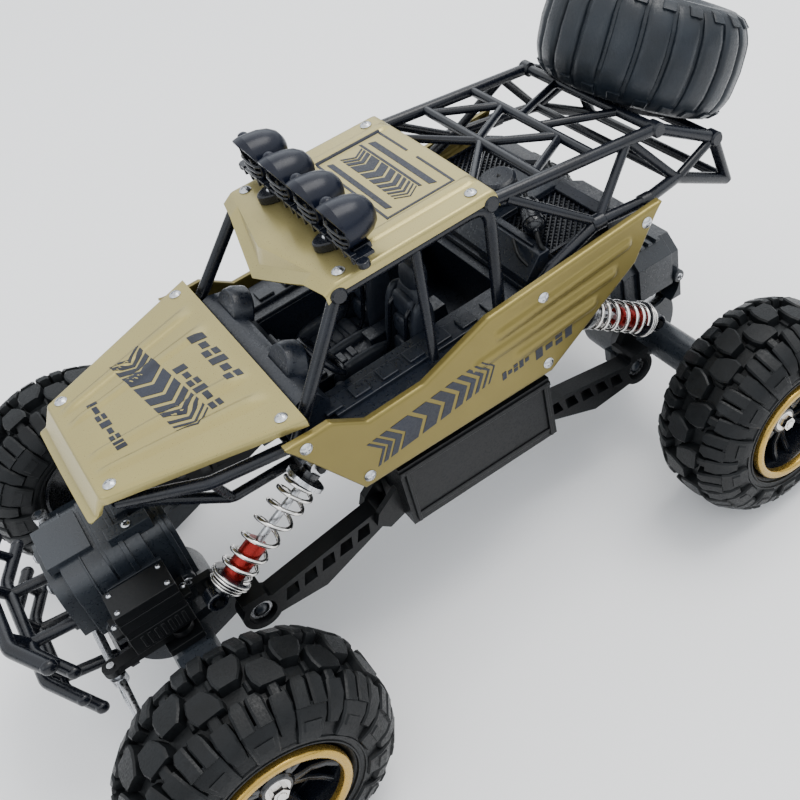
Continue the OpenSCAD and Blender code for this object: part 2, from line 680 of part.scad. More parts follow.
module steering_servo() color([0.13, 0.13, 0.14]) place() {
    block(axle_x - 6, axle_x + 17, lever_y - 7.5, lever_y + 6, 68, 90);
    block(axle_x - 9, axle_x + 20, lever_y - 5.5, lever_y + 4.5, 78, 80);
    translate([axle_x, lever_y, 60]) cylinder(h = 8, r = 2);
    block(axle_x - 6, axle_x + 8, lever_y - 6, lever_y + 6, 56.8, 60);
}

module front_bumper() color(black) place() {
    for (t = [[0, 83, bumper_r], [5, 74, 2.4], [2, 59, 2.4], [5, 50, 2.4]]) {
        x = bumper_x - t[0];
        pipe([[x - 8, -36, t[1]], [x, -20, t[1]], [x, 20, t[1]], [x - 8, 36, t[1]]], t[2]);
    }
    both_sides() {
        pipe([[bumper_x, 14, 83], [bumper_x - 5, 14, 74], [bumper_x - 2, 14, 59], [bumper_x - 5, 14, 50]], 2);
        bar([bumper_x - 5, 14, 74], [axle_x + 30.7, 14, 72], 2.2);
        bar([bumper_x - 5, 14, 50], [axle_x + 22, 16, 44], 2.2);
    }
    block(axle_x + 20.2, axle_x + 23, -20, 20, 40, 52);
}

module front_link_bush() color(steel) place() bush_shape();
module rear_link_bush() color(steel) place() at_end(-1) bush_shape();

module rear_gear_case() color(grey) place() at_end(-1) {
    gear_case_shape();
    ball_stud(1, 3.2);
    ball_stud(-1, 4.3);
    both_sides() difference() {
        ycyl(axle_x, 49.9, 70, axle_z, 8.5);
        ycyl(axle_x, 49, 71, axle_z, 5.2);
    }
}

module rear_gear_cover() color(grey) place() at_end(-1) {
    difference() {
        cover_shape(axle_x - 18, axle_x + 25, 90);
        for (s = [-1, 1]) for (k = [0:2])
            block(axle_x - 6 + k * 8, axle_x - 2 + k * 8, s * 11 - 6, s * 11 + 6, 88.5, 92);
    }
}

module rear_motor() color(steel) place() at_end(-1) motor_shape();

// ---------- arms and dampers ----------

module front_left_arm() color(black) place() arm_shape();
module front_right_arm() color(black) place() on_side(-1) arm_shape();
module rear_left_arm() color(black) place() at_end(-1) arm_shape();
module rear_right_arm() color(black) place() on_side(-1) at_end(-1) arm_shape();
module front_left_rod() color(steel) place() rod_shape(1);
module front_right_rod() color(steel) place() on_side(-1) rod_shape(1);
module rear_left_rod() color(steel) place() at_end(-1) rod_shape(-1);
module rear_right_rod() color(steel) place() on_side(-1) at_end(-1) rod_shape(-1);
module front_left_damper() color(red) place() damper_shape(1);
module front_right_damper() color(red) place() on_side(-1) damper_shape(1);
module rear_left_damper() color(red) place() at_end(-1) damper_shape(-1);
module rear_right_damper() color(red) place() on_side(-1) at_end(-1) damper_shape(-1);
module front_left_spring() color(steel) place() spring_shape(1);
module front_right_spring() color(steel) place() on_side(-1) spring_shape(1);
module rear_left_spring() color(steel) place() at_end(-1) spring_shape(-1);
module rear_right_spring() color(steel) place() on_side(-1) at_end(-1) spring_shape(-1);

// ---------- steering ----------

module knuckle_shape() {
    difference() {
        union() {
            ycyl(axle_x, kingpin_y - 5, kingpin_y + 14, axle_z, 9.4);
            translate([axle_x, kingpin_y, axle_z - 11.8]) cylinder(h = 23.6, r = 4.6);
            block(axle_x, axle_x + steer_arm, kingpin_y - 3, kingpin_y + 3, axle_z + 2, axle_z + 6);
            translate([axle_x + steer_arm, kingpin_y, axle_z + 2]) cylinder(h = 4, r = 3.2);
            translate([axle_x, kingpin_y, axle_z - 16]) cylinder(h = 32, r = 2.5);
            translate([axle_x + steer_arm, kingpin_y, axle_z + 2]) cylinder(h = 9.6, r = 1.5);
        }
        ycyl(axle_x, kingpin_y - 6, kingpin_y + 8, axle_z, 7.3);
        ycyl(axle_x, kingpin_y + 7, kingpin_y + 15, axle_z, 4 + fit);
    }
}

module left_knuckle() color(grey) place() knuckle_shape();
module right_knuckle() color(grey) place() on_side(-1) knuckle_shape();

module tie_rod() color(steel) place() {
    x = axle_x + steer_arm;
    difference() {
        union() {
            ycyl(x, -kingpin_y, kingpin_y, axle_z + 8.5, 1.8);
            both_sides() translate([x, kingpin_y, axle_z + 6.5]) cylinder(h = 4, r = 3.2);
            translate([x, lever_y, axle_z + 6.5]) cylinder(h = 4, r = 3);
            translate([x, lever_y, axle_z + 8]) cylinder(h = 9, r = 1.4);
        }
        both_sides() translate([x, kingpin_y, axle_z]) cylinder(h = 20, r = 1.5 + fit);
    }
}

module steering_lever() color(black) place() difference() {
    union() {
        translate([axle_x, lever_y, axle_z + 13.2]) cylinder(h = 3, r = 4.5);
        block(axle_x, axle_x + steer_arm, lever_y - 2.5, lever_y + 2.5, axle_z + 13.2, axle_z + 16.2);
        translate([axle_x + steer_arm, lever_y, axle_z + 13.2]) cylinder(h = 3, r = 3.4);
    }
    translate([axle_x, lever_y, axle_z + 10]) cylinder(h = 10, r = 2 + fit);
    translate([axle_x + steer_arm, lever_y, axle_z + 10]) cylinder(h = 10, r = 1.4 + fit);
}

// ---------- wheels ----------

// stub axle with the cup of the front drive joint
module stub(s) translate([axle_x, 0, axle_z]) on_side(s) {
    difference() {
        union() {
            ycyl(0, kingpin_y - 3, kingpin_y + 7.4, 0, 6.7);
            ycyl(0, kingpin_y + 7, tyre_y + 10.8, 0, 4);
        }
        translate([0, kingpin_y, 0]) sphere(4.3);
        ycyl(0, kingpin_y - 4, kingpin_y, 0, 4.5);
    }
}

module front_left_tyre() color(rubber) place() at_wheel(1, 1) tyre_shape();
module front_right_tyre() color(rubber) place() at_wheel(1, -1) tyre_shape();
module front_left_rim() color(black) place() {
    at_wheel(1, 1) rim_shape();
    stub(1);
}
module front_right_rim() color(black) place() {
    at_wheel(1, -1) rim_shape();
    stub(-1);
}
module front_left_bead_ring() color(gold) place() at_wheel(1, 1) bead_ring_shape();
module front_right_bead_ring() color(gold) place() at_wheel(1, -1) bead_ring_shape();

module front_drive_shaft() color(steel) place() {
    ycyl(axle_x, -kingpin_y, kingpin_y, axle_z, 2.1);
    both_sides() translate([axle_x, kingpin_y, axle_z]) sphere(4);
    axle_gear();
    ycyl(axle_x, 3.8, 17, axle_z, 4.5);
}

module front_pinion() color([0.8, 0.65, 0.25]) place() pinion_shape();
module rear_pinion() color([0.8, 0.65, 0.25]) place() at_end(-1) pinion_shape();

module rear_tyres() color(rubber) place() for (s = [1, -1]) at_wheel(-1, s) tyre_shape();
module rear_rims() color(black) place() for (s = [1, -1]) at_wheel(-1, s) rim_shape();
module rear_bead_rings() color(gold) place() for (s = [1, -1]) at_wheel(-1, s) bead_ring_shape();

module rear_drive_shaft() color(steel) place() at_end(-1) {
    ycyl(axle_x, -tyre_y - 10.8, tyre_y + 10.8, axle_z, 4);
    axle_gear();
}

chassis_tub();
cockpit_tub();
engine_cover();
steering_wheel();
roll_cage();
hood_panel();
roof_panel();
left_side_panel();
right_side_panel();
panel_screws();
light_bar();
light_lenses();
spare_tyre();
battery_pack();
receiver_board();
battery_cover();
power_switch();
front_gear_case();
front_gear_cover();
front_motor();
steering_servo();
front_bumper();
front_link_bush();
rear_gear_case();
rear_gear_cover();
rear_motor();
rear_link_bush();
front_left_arm();
front_right_arm();
rear_left_arm();
rear_right_arm();
front_left_rod();
front_right_rod();
rear_left_rod();
rear_right_rod();
front_left_damper();
front_right_damper();
rear_left_damper();
rear_right_damper();
front_left_spring();
front_right_spring();
rear_left_spring();
rear_right_spring();
left_knuckle();
right_knuckle();
tie_rod();
steering_lever();
front_left_tyre();
front_left_rim();
front_left_bead_ring();
front_right_tyre();
front_right_rim();
front_right_bead_ring();
front_drive_shaft();
front_pinion();
rear_tyres();
rear_rims();
rear_bead_rings();
rear_drive_shaft();
rear_pinion();
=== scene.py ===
import math
import bpy
import numpy as np
from mathutils import Matrix, Vector


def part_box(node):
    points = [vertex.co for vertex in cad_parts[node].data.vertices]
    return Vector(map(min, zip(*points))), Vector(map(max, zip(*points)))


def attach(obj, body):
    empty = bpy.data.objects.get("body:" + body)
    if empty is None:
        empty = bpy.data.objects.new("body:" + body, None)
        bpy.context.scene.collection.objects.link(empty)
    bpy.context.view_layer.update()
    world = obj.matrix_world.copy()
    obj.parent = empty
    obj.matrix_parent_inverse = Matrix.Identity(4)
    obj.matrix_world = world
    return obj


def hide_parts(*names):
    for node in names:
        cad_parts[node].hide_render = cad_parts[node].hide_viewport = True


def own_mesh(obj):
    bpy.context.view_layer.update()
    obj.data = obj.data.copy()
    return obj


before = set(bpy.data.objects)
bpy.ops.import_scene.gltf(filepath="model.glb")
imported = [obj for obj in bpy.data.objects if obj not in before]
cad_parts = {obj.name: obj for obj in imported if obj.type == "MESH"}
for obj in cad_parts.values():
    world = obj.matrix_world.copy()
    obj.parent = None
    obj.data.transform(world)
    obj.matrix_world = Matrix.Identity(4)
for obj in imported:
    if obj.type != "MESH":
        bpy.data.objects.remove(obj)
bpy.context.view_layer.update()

# The shapes below are written in millimetres in the car's own axes: X forward from the middle of
# the wheelbase, Y to the left, Z up from the ground. SHIFT brings X into the frame of the model.
MM = 0.001
AXLE_X, AXLE_Z, TYRE_Y = 122.0, 48.0, 93.0
SIDES = (("left", 1), ("right", -1))
ring_low, ring_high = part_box("front_left_bead_ring")
SHIFT = (ring_low.x + ring_high.x) / 2 / MM - AXLE_X
PITCH = math.radians(3.5)
PITCH_Z = 90.0
ROOF_Z = 174.0


# ---------------------------------------------------------------- places

def pitched(points):
    """Points of the nose-down upper body, in the car's axes."""
    p = np.asarray(points, float).reshape(-1, 3)
    z = p[:, 2] - PITCH_Z
    return np.stack([p[:, 0] * math.cos(PITCH) + z * math.sin(PITCH), p[:, 1],
                     PITCH_Z - p[:, 0] * math.sin(PITCH) + z * math.cos(PITCH)], 1)


def turned(points, axis, degrees, centre=(0, 0, 0)):
    m = np.array(Matrix.Rotation(math.radians(degrees), 3, axis))
    c = np.array(centre, float)
    return (np.asarray(points, float) - c) @ m.T + c


# ---------------------------------------------------------------- shapes: (points, faces)

def joined(parts):
    points, faces, start = [], [], 0
    for p, f in parts:
        p = np.asarray(p, float).reshape(-1, 3)
        points.append(p)
        faces += [[i + start for i in face] for face in f]
        start += len(p)
    return np.concatenate(points), faces


def moved(part, offset):
    return np.asarray(part[0], float) + np.array(offset, float), part[1]


def spun(part, axis, degrees, centre=(0, 0, 0)):
    return turned(part[0], axis, degrees, centre), part[1]


def mirrored(part, axis=1):
    p = np.array(part[0], float)
    p[:, axis] *= -1
    return p, [list(reversed(f)) for f in part[1]]


def both(part):
    return joined([part, mirrored(part)])


def skin(rings, closed=True, caps=True, loop=False):
    """Quads between rings of equal length; loop joins the last ring to the first."""
    n, m = len(rings), len(rings[0])
    points = np.concatenate([np.asarray(r, float) for r in rings])
    faces = []
    for i in range(n if loop else n - 1):
        a, b = i * m, ((i + 1) % n) * m
        for j in range(m if closed else m - 1):
            k = (j + 1) % m
            faces.append([a + j, a + k, b + k, b + j])
    if caps and closed and not loop:
        faces.append(list(reversed(range(m))))
        faces.append([(n - 1) * m + j for j in range(m)])
    return points, faces


def rounded_path(path, radius, steps=5):
    """The path with each inner corner replaced by an arc."""
    path = [np.array(p, float) for p in path]
    out = [path[0]]
    for i in range(1, len(path) - 1):
        a, b, c = path[i - 1], path[i], path[i + 1]
        u, v = a - b, c - b
        lu, lv = np.linalg.norm(u), np.linalg.norm(v)
        u, v = u / lu, v / lv
        half = math.acos(max(-1, min(1, float(u @ v)))) / 2
        if half > math.pi / 2 - 0.02:
            out.append(b)
            continue
        cut = min(radius / math.tan(half), lu * 0.45, lv * 0.45)
        p, q = b + u * cut, b + v * cut
        for k in range(steps + 1):
            t = k / steps
            out.append((1 - t) ** 2 * p + 2 * t * (1 - t) * b + t * t * q)
    out.append(path[-1])
    return out


def tube(path, r, sides=16, bend=7.0, steps=5, loop=False):
    """Round tube along a path; r is one radius or one for each end."""
    pts = [np.array(p, float) for p in path]
    if not loop and len(pts) > 2 and bend:
        pts = rounded_path(pts, bend, steps)
    n = len(pts)
    radii = np.linspace(r[0], r[1], n) if isinstance(r, tuple) else np.full(n, float(r))
    rings, side = [], None
    for i in range(n):
        before = pts[i - 1] if (i or loop) else pts[i]
        after = pts[(i + 1) % n] if (i < n - 1 or loop) else pts[i]
        d = after - before
        d = d / np.linalg.norm(d)
        if side is None:
            side = np.cross(d, [0, 0, 1] if abs(d[2]) < 0.9 else [1, 0, 0])
        side = side - d * (side @ d)
        side = side / np.linalg.norm(side)
        up = np.cross(d, side)
        a = np.arange(sides) * 2 * math.pi / sides
        rings.append(pts[i] + radii[i] * (np.outer(np.cos(a), side) + np.outer(np.sin(a), up)))
    return skin(rings, loop=loop)


def lathe(profile, steps=72, closed=False, axis="Y"):
    """Turns (radius, along) pairs about the axis through the origin."""
    profile = np.array(profile, float)
    a = np.arange(steps) * 2 * math.pi / steps
    rings = []
    for angle in a:
        c, s = math.cos(angle), math.sin(angle)
        r, t = profile[:, 0], profile[:, 1]
        xyz = {"Y": (r * s, t, r * c), "X": (t, r * c, r * s), "Z": (r * c, r * s, t)}[axis]
        rings.append(np.stack(xyz, 1))
    return skin(rings, closed=closed, caps=False, loop=True)


def rod(a, b, r, sides=20, chamfer=0.0):
    """Solid round bar from a to b, with chamfered ends."""
    a, b = np.array(a, float), np.array(b, float)
    d = (b - a) / np.linalg.norm(b - a)
    side = np.cross(d, [0, 0, 1] if abs(d[2]) < 0.9 else [1, 0, 0])
    side /= np.linalg.norm(side)
    up = np.cross(d, side)
    ang = np.arange(sides) * 2 * math.pi / sides
    ring = np.outer(np.cos(ang), side) + np.outer(np.sin(ang), up)
    stations = [(a, r), (b, r)]
    if chamfer:
        stations = [(a, r - chamfer), (a + d * chamfer, r), (b - d * chamfer, r), (b, r - chamfer)]
    return skin([c + k * ring for c, k in stations])


def prism(outline, low, high, plane="XY"):
    """Flat outline swept straight from low to high along the third axis."""
    o = np.array(outline, float)

    def at(t):
        t = np.full(len(o), float(t))
        cols = {"XY": (o[:, 0], o[:, 1], t), "XZ": (o[:, 0], t, o[:, 1]), "YZ": (t, o[:, 0], o[:, 1])}[plane]
        return np.stack(cols, 1)
    area = np.sum(o[:, 0] * np.roll(o[:, 1], -1) - np.roll(o[:, 0], -1) * o[:, 1])
    part = skin([at(low), at(high)])
    if (area < 0) != (plane == "XZ"):
        part = (part[0], [list(reversed(f)) for f in part[1]])
    return part


def box(x0, x1, y0, y1, z0, z1):
    return prism([(x0, y0), (x1, y0), (x1, y1), (x0, y1)], z0, z1)


def side_box(s, x0, x1, near, far, z0, z1):
    """Box between two distances from the middle, on the left (s = 1) or the right (s = -1)."""
    return box(x0, x1, *sorted((s * near, s * far)), z0, z1)


def cushion(centre, size, power=3.6, cuts=9):
    """Box with soft, full sides: a superellipsoid made from a cut cube."""
    g = np.linspace(-1, 1, cuts)
    parts = []
    for axis in range(3):
        for sign in (-1, 1):
            rows = []
            for u in g:
                row = np.zeros((cuts, 3))
                row[:, axis], row[:, (axis + 1) % 3], row[:, (axis + 2) % 3] = sign, u, g
                rows.append(row)
            p, f = skin(rows, closed=False, caps=False)
            p = p / (np.sum(np.abs(p) ** power, 1) ** (1 / power))[:, None]
            parts.append((p, f if sign > 0 else [list(reversed(q)) for q in f]))
    p, f = joined(parts)
    return p * np.array(size, float) / 2 + np.array(centre, float), f


def smoothstep(t):
    t = np.clip(t, 0, 1)
    return t * t * (3 - 2 * t)


# ---------------------------------------------------------------- materials


def node_of(tree, kind, **inputs):
    """A node with these input values; an underscore in a name stands for a space."""
    n = tree.nodes.new(kind)
    for key, value in inputs.items():
        n.inputs[key.replace("_", " ")].default_value = value
    return n


def material(name, color, rough, metal=0.0, tone=0.25, tone_scale=60.0, grain=0.1, grain_scale=1500.0,
             rough_spread=0.12, coat=0.0, dust=0.0, dust_color=(0.16, 0.16, 0.15), specular=0.5):
    """Colour that varies softly, roughness that varies with a fine grain, and the same grain in the bump."""
    mat = bpy.data.materials.new("look_" + name)
    mat.use_nodes = True
    tree = mat.node_tree
    shader = tree.nodes["Principled BSDF"]
    link = tree.links.new
    place = node_of(tree, "ShaderNodeTexCoord").outputs["Object"]
    broad = node_of(tree, "ShaderNodeTexNoise", Scale=tone_scale, Detail=4)
    fine = node_of(tree, "ShaderNodeTexNoise", Scale=grain_scale, Detail=2)
    link(place, broad.inputs["Vector"])
    link(place, fine.inputs["Vector"])
    ramp = node_of(tree, "ShaderNodeValToRGB")
    for k, position, factor in ((0, 0.32, 1 - tone), (1, 0.7, 1 + tone)):
        ramp.color_ramp.elements[k].position = position
        ramp.color_ramp.elements[k].color = (*[min(1, c * factor) for c in color], 1)
    link(broad.outputs["Fac"], ramp.inputs["Fac"])
    color_out = ramp.outputs["Color"]
    if dust:
        patches = node_of(tree, "ShaderNodeTexNoise", Scale=tone_scale * 3.1, Detail=6)
        link(place, patches.inputs["Vector"])
        cover = node_of(tree, "ShaderNodeMapRange", From_Min=0.48, From_Max=0.8, To_Max=dust)
        link(patches.outputs["Fac"], cover.inputs["Value"])
        mix = node_of(tree, "ShaderNodeMixRGB", Color2=(*dust_color, 1))
        link(cover.outputs["Result"], mix.inputs["Fac"])
        link(color_out, mix.inputs["Color1"])
        color_out = mix.outputs["Color"]
    link(color_out, shader.inputs["Base Color"])
    spread = node_of(tree, "ShaderNodeMapRange", From_Min=0.3, From_Max=0.7,
                     To_Min=max(0.03, rough - rough_spread), To_Max=min(1, rough + rough_spread))
    link(fine.outputs["Fac"], spread.inputs["Value"])
    link(spread.outputs["Result"], shader.inputs["Roughness"])
    bump = node_of(tree, "ShaderNodeBump", Strength=grain, Distance=0.0002)
    link(fine.outputs["Fac"], bump.inputs["Height"])
    link(bump.outputs["Normal"], shader.inputs["Normal"])
    shader.inputs["Metallic"].default_value = metal
    shader.inputs["Specular IOR Level"].default_value = specular
    if coat:
        shader.inputs["Coat Weight"].default_value = coat
        shader.inputs["Coat Roughness"].default_value = 0.08
    return mat


GOLD = material("satin_gold", (0.35, 0.295, 0.115), 0.34, metal=0.65, tone=0.06, tone_scale=25,
                grain=0.12, grain_scale=2600, rough_spread=0.07, coat=0.15)
# the side panels get a darker copy of the same gold as painted shade, so they read darker than the hood and roof
SIDE_GOLD_PAINTED_SHADE = material("side_gold_painted_shade", (0.19, 0.15, 0.04), 0.36, metal=0.65, tone=0.08, tone_scale=25,
                     grain=0.12, grain_scale=2600, rough_spread=0.07, coat=0.1)
# navy print for the graphics; the same colour also goes on the screws' cross bars as painted shade for their recesses
PRINT_AND_PAINTED_SHADE = material("navy_print_and_painted_shade", (0.006, 0.009, 0.02), 0.5, tone=0.3, grain=0.05)
CAGE = material("cage_black", (0.003, 0.0042, 0.008), 0.27, tone=0.3, grain=0.1, grain_scale=900,
                rough_spread=0.07, specular=0.4)
PLASTIC = material("moulded_black", (0.0025, 0.003, 0.0038), 0.42, tone=0.3, grain=0.15,
                   grain_scale=1100, dust=0.05, dust_color=(0.03, 0.03, 0.035), specular=0.28)
CASE = material("case_grey", (0.011, 0.015, 0.021), 0.36, tone=0.15, grain=0.08, grain_scale=1200,
                dust=0.03, dust_color=(0.05, 0.055, 0.06), specular=0.6)
COCKPIT = material("cockpit_dark", (0.005, 0.008, 0.015), 0.36, tone=0.3, grain=0.2,
                   grain_scale=1000)
SEAT = material("seat_dark", (0.009, 0.013, 0.022), 0.5, tone=0.3, grain=0.45, grain_scale=700)
GLOSS = material("gloss_black", (0.0035, 0.005, 0.009), 0.27, tone=0.3, grain=0.06,
                 rough_spread=0.05, coat=0.35)
POD = material("pod_satin", (0.003, 0.005, 0.013), 0.3, tone=0.2, grain=0.03, rough_spread=0.03,
               specular=0.28)
CHROME = material("chrome", (0.78, 0.76, 0.73), 0.14, metal=1, tone=0.08, grain=0.05, rough_spread=0.06)
STEEL = material("steel", (0.55, 0.56, 0.58), 0.3, metal=1, tone=0.12, grain=0.15, grain_scale=900)
RED = material("red_anodised", (0.24, 0.012, 0.009), 0.28, metal=0.75, tone=0.15, grain=0.08)
RUBBER = material("tyre_rubber", (0.004, 0.0048, 0.0056), 0.46, tone=0.3, tone_scale=90, grain=0.35,
                  grain_scale=1300, rough_spread=0.14, dust=0.3, dust_color=(0.012, 0.014, 0.0158), specular=0.24)
SPARE = material("spare_rubber", (0.006, 0.0095, 0.0145), 0.42, tone=0.3, tone_scale=70, grain=0.3,
                 grain_scale=1200, rough_spread=0.12, dust=0.12, dust_color=(0.016, 0.024, 0.033), specular=0.4)
BRASS = material("brass", (0.6, 0.45, 0.16), 0.3, metal=1, tone=0.1, grain=0.1)
RING = material("ring_gold", (0.42, 0.27, 0.055), 0.3, metal=0.85, tone=0.1, grain=0.1, coat=0.3)
BOARD = material("board_green", (0.02, 0.12, 0.05), 0.4, tone=0.2, grain=0.2)
BATTERY = material("battery_blue", (0.02, 0.07, 0.25), 0.35, tone=0.15, grain=0.1)
SWITCH_RED = material("switch_red", (0.4, 0.02, 0.015), 0.4, tone=0.15, grain=0.2)
LENS = material("lens_dark", (0.05, 0.06, 0.075), 0.07, metal=0.5, tone=0.2, grain=0.02, rough_spread=0.03,
                coat=1.0)


# ---------------------------------------------------------------- pieces

def piece(name, parts, mat, body, replaces=(), bevel=0.0, angle=32, pitch=False):
    """One object from shapes in millimetres, riding on a CAD body."""
    points, faces = joined(parts)
    if pitch:
        points = pitched(points)
    points = points + np.array([SHIFT, 0, 0])
    mesh = bpy.data.meshes.new(name)
    mesh.from_pydata([tuple(p) for p in points * MM], [], faces)
    mesh.validate()
    mesh.update()
    mesh.shade_smooth()
    mesh.set_sharp_from_angle(angle=math.radians(180 if bevel else angle))
    mesh.materials.append(mat)
    obj = bpy.data.objects.new(name, mesh)
    bpy.context.scene.collection.objects.link(obj)
    if bevel:
        mod = obj.modifiers.new("edges", "BEVEL")
        mod.width = bevel * MM
        mod.segments = 2
        mod.limit_method = "ANGLE"
        mod.angle_limit = math.radians(angle)
        mod.harden_normals = True
    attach(obj, body)
    if replaces:
        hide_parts(*replaces)
    return obj


def upper(name, parts, mat, replaces=(), **look):
    """A piece of the nose-down upper body."""
    return piece(name, parts, mat, "chassis", replaces, pitch=True, **look)


def finish_node(node, mat):
    """A CAD node that stays gets its own material."""
    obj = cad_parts[node]
    if not obj.data.materials:
        obj.data.materials.append(mat)
    for s in obj.material_slots:
        s.material = mat


# ---------------------------------------------------------------- camera, light, floor

CAMERA_AT = np.array([113.3 + SHIFT, 299.2, 360.9]) * MM
AZIMUTH, ELEVATION, ROLL = (math.radians(a) for a in (60.48, 41.65, -10.69))
forward = -Vector((math.cos(ELEVATION) * math.cos(AZIMUTH), math.cos(ELEVATION) * math.sin(AZIMUTH),
                   math.sin(ELEVATION)))
right0 = forward.cross(Vector((0, 0, 1))).normalized()
up0 = right0.cross(forward)
right = math.cos(ROLL) * right0 + math.sin(ROLL) * up0
up = -math.sin(ROLL) * right0 + math.cos(ROLL) * up0
camera_data = bpy.data.cameras.new("camera")
camera_data.sensor_width = 36.0
camera_data.lens = 44.5
camera_data.shift_x = -0.137
camera_data.shift_y = -0.046
camera_data.clip_start = 0.01
camera = bpy.data.objects.new("camera", camera_data)
camera.matrix_world = Matrix([[right[i], up[i], -forward[i], CAMERA_AT[i]] for i in range(3)] + [[0, 0, 0, 1]])
bpy.context.scene.collection.objects.link(camera)
bpy.context.scene.camera = camera


def lamp(name, at, target, size, power, color=(1, 1, 1)):
    data = bpy.data.lights.new(name, "AREA")
    data.size = size
    data.energy = power
    data.color = color
    obj = bpy.data.objects.new(name, data)
    obj.location = at
    obj.rotation_euler = (Vector(target) - Vector(at)).to_track_quat("-Z", "Y").to_euler()
    bpy.context.scene.collection.objects.link(obj)


lamp("key", (-0.45, 0.1, 1.25), (0, 0, 0.1), 0.7, 10, (1, 0.99, 0.97))
lamp("sky", (0.1, 0.9, 1.3), (0, 0, 0.1), 0.9, 1.5, (0.84, 0.91, 1))
lamp("front", (1.2, 0.3, 0.9), (0, 0, 0.08), 0.7, 1.5, (0.88, 0.93, 1))
lamp("far", (-0.75, -1.2, 1.25), (0, 0, 0.1), 1.2, 5, (0.93, 0.96, 1))
world = bpy.data.worlds.new("studio")
world.use_nodes = True
# bright overhead and dim at the horizon; the last stop, straight up, stays white
sky = world.node_tree
direction, height, sky_ramp = (node_of(sky, "ShaderNode" + kind) for kind in ("TexCoord", "SeparateXYZ", "ValToRGB"))
stops = sky_ramp.color_ramp.elements
stops.new(0.3)
for stop, level in zip(stops, (0.08, 1.15)):
    stop.color = (0.9 * level, 0.95 * level, level, 1)
backdrop = sky.nodes["Background"]
sky.links.new(direction.outputs["Generated"], height.inputs["Vector"])
sky.links.new(height.outputs["Z"], sky_ramp.inputs["Fac"])
sky.links.new(sky_ramp.outputs["Color"], backdrop.inputs["Color"])
backdrop.inputs["Strength"].default_value = 1.5
bpy.context.scene.world = world

floor_mesh = bpy.data.meshes.new("floor")
floor_mesh.from_pydata([(x, y, -0.0004) for x, y in ((-6, -6), (6, -6), (6, 6), (-6, 6))], [], [[0, 1, 2, 3]])
floor_mesh.materials.append(material("floor_pale", (0.93, 0.93, 0.935), 0.75, tone=0.01, tone_scale=3,
                                     grain=0.02))
floor = bpy.data.objects.new("floor", floor_mesh)
bpy.context.scene.collection.objects.link(floor)


# ---------------------------------------------------------------- gold panels

def closed_sheet(top, low, flip=False):
    """Solid between two grids of points; flip turns its faces over."""
    rows, cols = top.shape[:2]
    m = rows * cols
    faces = []
    for a in (i * cols + j for i in range(rows - 1) for j in range(cols - 1)):
        b, c, d = a + 1, a + cols + 1, a + cols
        quads = [[a, b, c, d], [m + a, m + d, m + c, m + b]]
        faces += quads if flip else [q[:1] + q[:0:-1] for q in quads]
    edge = ([j for j in range(cols)] + [i * cols + cols - 1 for i in range(1, rows)]
            + [(rows - 1) * cols + j for j in range(cols - 2, -1, -1)] + [i * cols for i in range(rows - 2, 0, -1)])
    for a, b in zip(edge, edge[1:] + edge[:1]):
        faces.append([b, a, m + a, m + b] if flip else [a, b, m + b, m + a])
    return np.concatenate([top.reshape(-1, 3), low.reshape(-1, 3)]), faces


def sheet_metal(top, thick):
    """Thin solid from a grid of top points, thickened along their downward normals."""
    n = np.cross(np.gradient(top, axis=0), np.gradient(top, axis=1))
    n /= np.linalg.norm(n, axis=2)[:, :, None] + 1e-9
    if n[top.shape[0] // 2, top.shape[1] // 2, 2] < 0:
        n = -n
    return closed_sheet(top, top - n * thick)


def rolled(flat, drop, radius, steps=4):
    """Sideways offsets and drops of an edge that is rolled down beyond a flat half width."""
    out = [(flat - radius, 0.0)]
    for k in range(1, steps + 1):
        a = math.pi / 2 * k / steps
        out.append((flat - radius + radius * math.sin(a), -radius * (1 - math.cos(a))))
    out.append((flat, -drop))
    return out


def rib(t, centre, half, soft):
    return smoothstep((half + soft - np.abs(t - centre)) / soft)


EDGE_ROLL = 1.6          # radius of the panels' rolled edges
HOOD_LONG = 68.0
HOOD_REAR_X, HOOD_REAR_Z = 52, 141
HOOD_TILT = math.atan2(3, HOOD_LONG)


def hood_half(u):
    return 55.0 - 24.5 * u / HOOD_LONG


def hood_lift(u, t):
    """Height of the hood's pressing at u from its rear edge, at the share t of its half width."""
    t = np.abs(t)
    run = smoothstep((u - 4) / 8) * smoothstep((65 - u) / 6)
    ridge = rib(t, 0.36, 0.03, 0.045) + 0.9 * rib(t, 0.655, 0.03, 0.05)
    dish = 0.5 * smoothstep((0.36 - t) / 0.08)
    return run * (1.15 * ridge + dish) + 0.35 * (1 - t * t)


def hood_point(u, y):
    z = 1.2 + hood_lift(u, np.asarray(y) / (hood_half(u) - EDGE_ROLL))
    c, s = math.cos(HOOD_TILT), math.sin(HOOD_TILT)
    return np.array([HOOD_REAR_X + u * c + z * s, y, HOOD_REAR_Z - u * s + z * c])


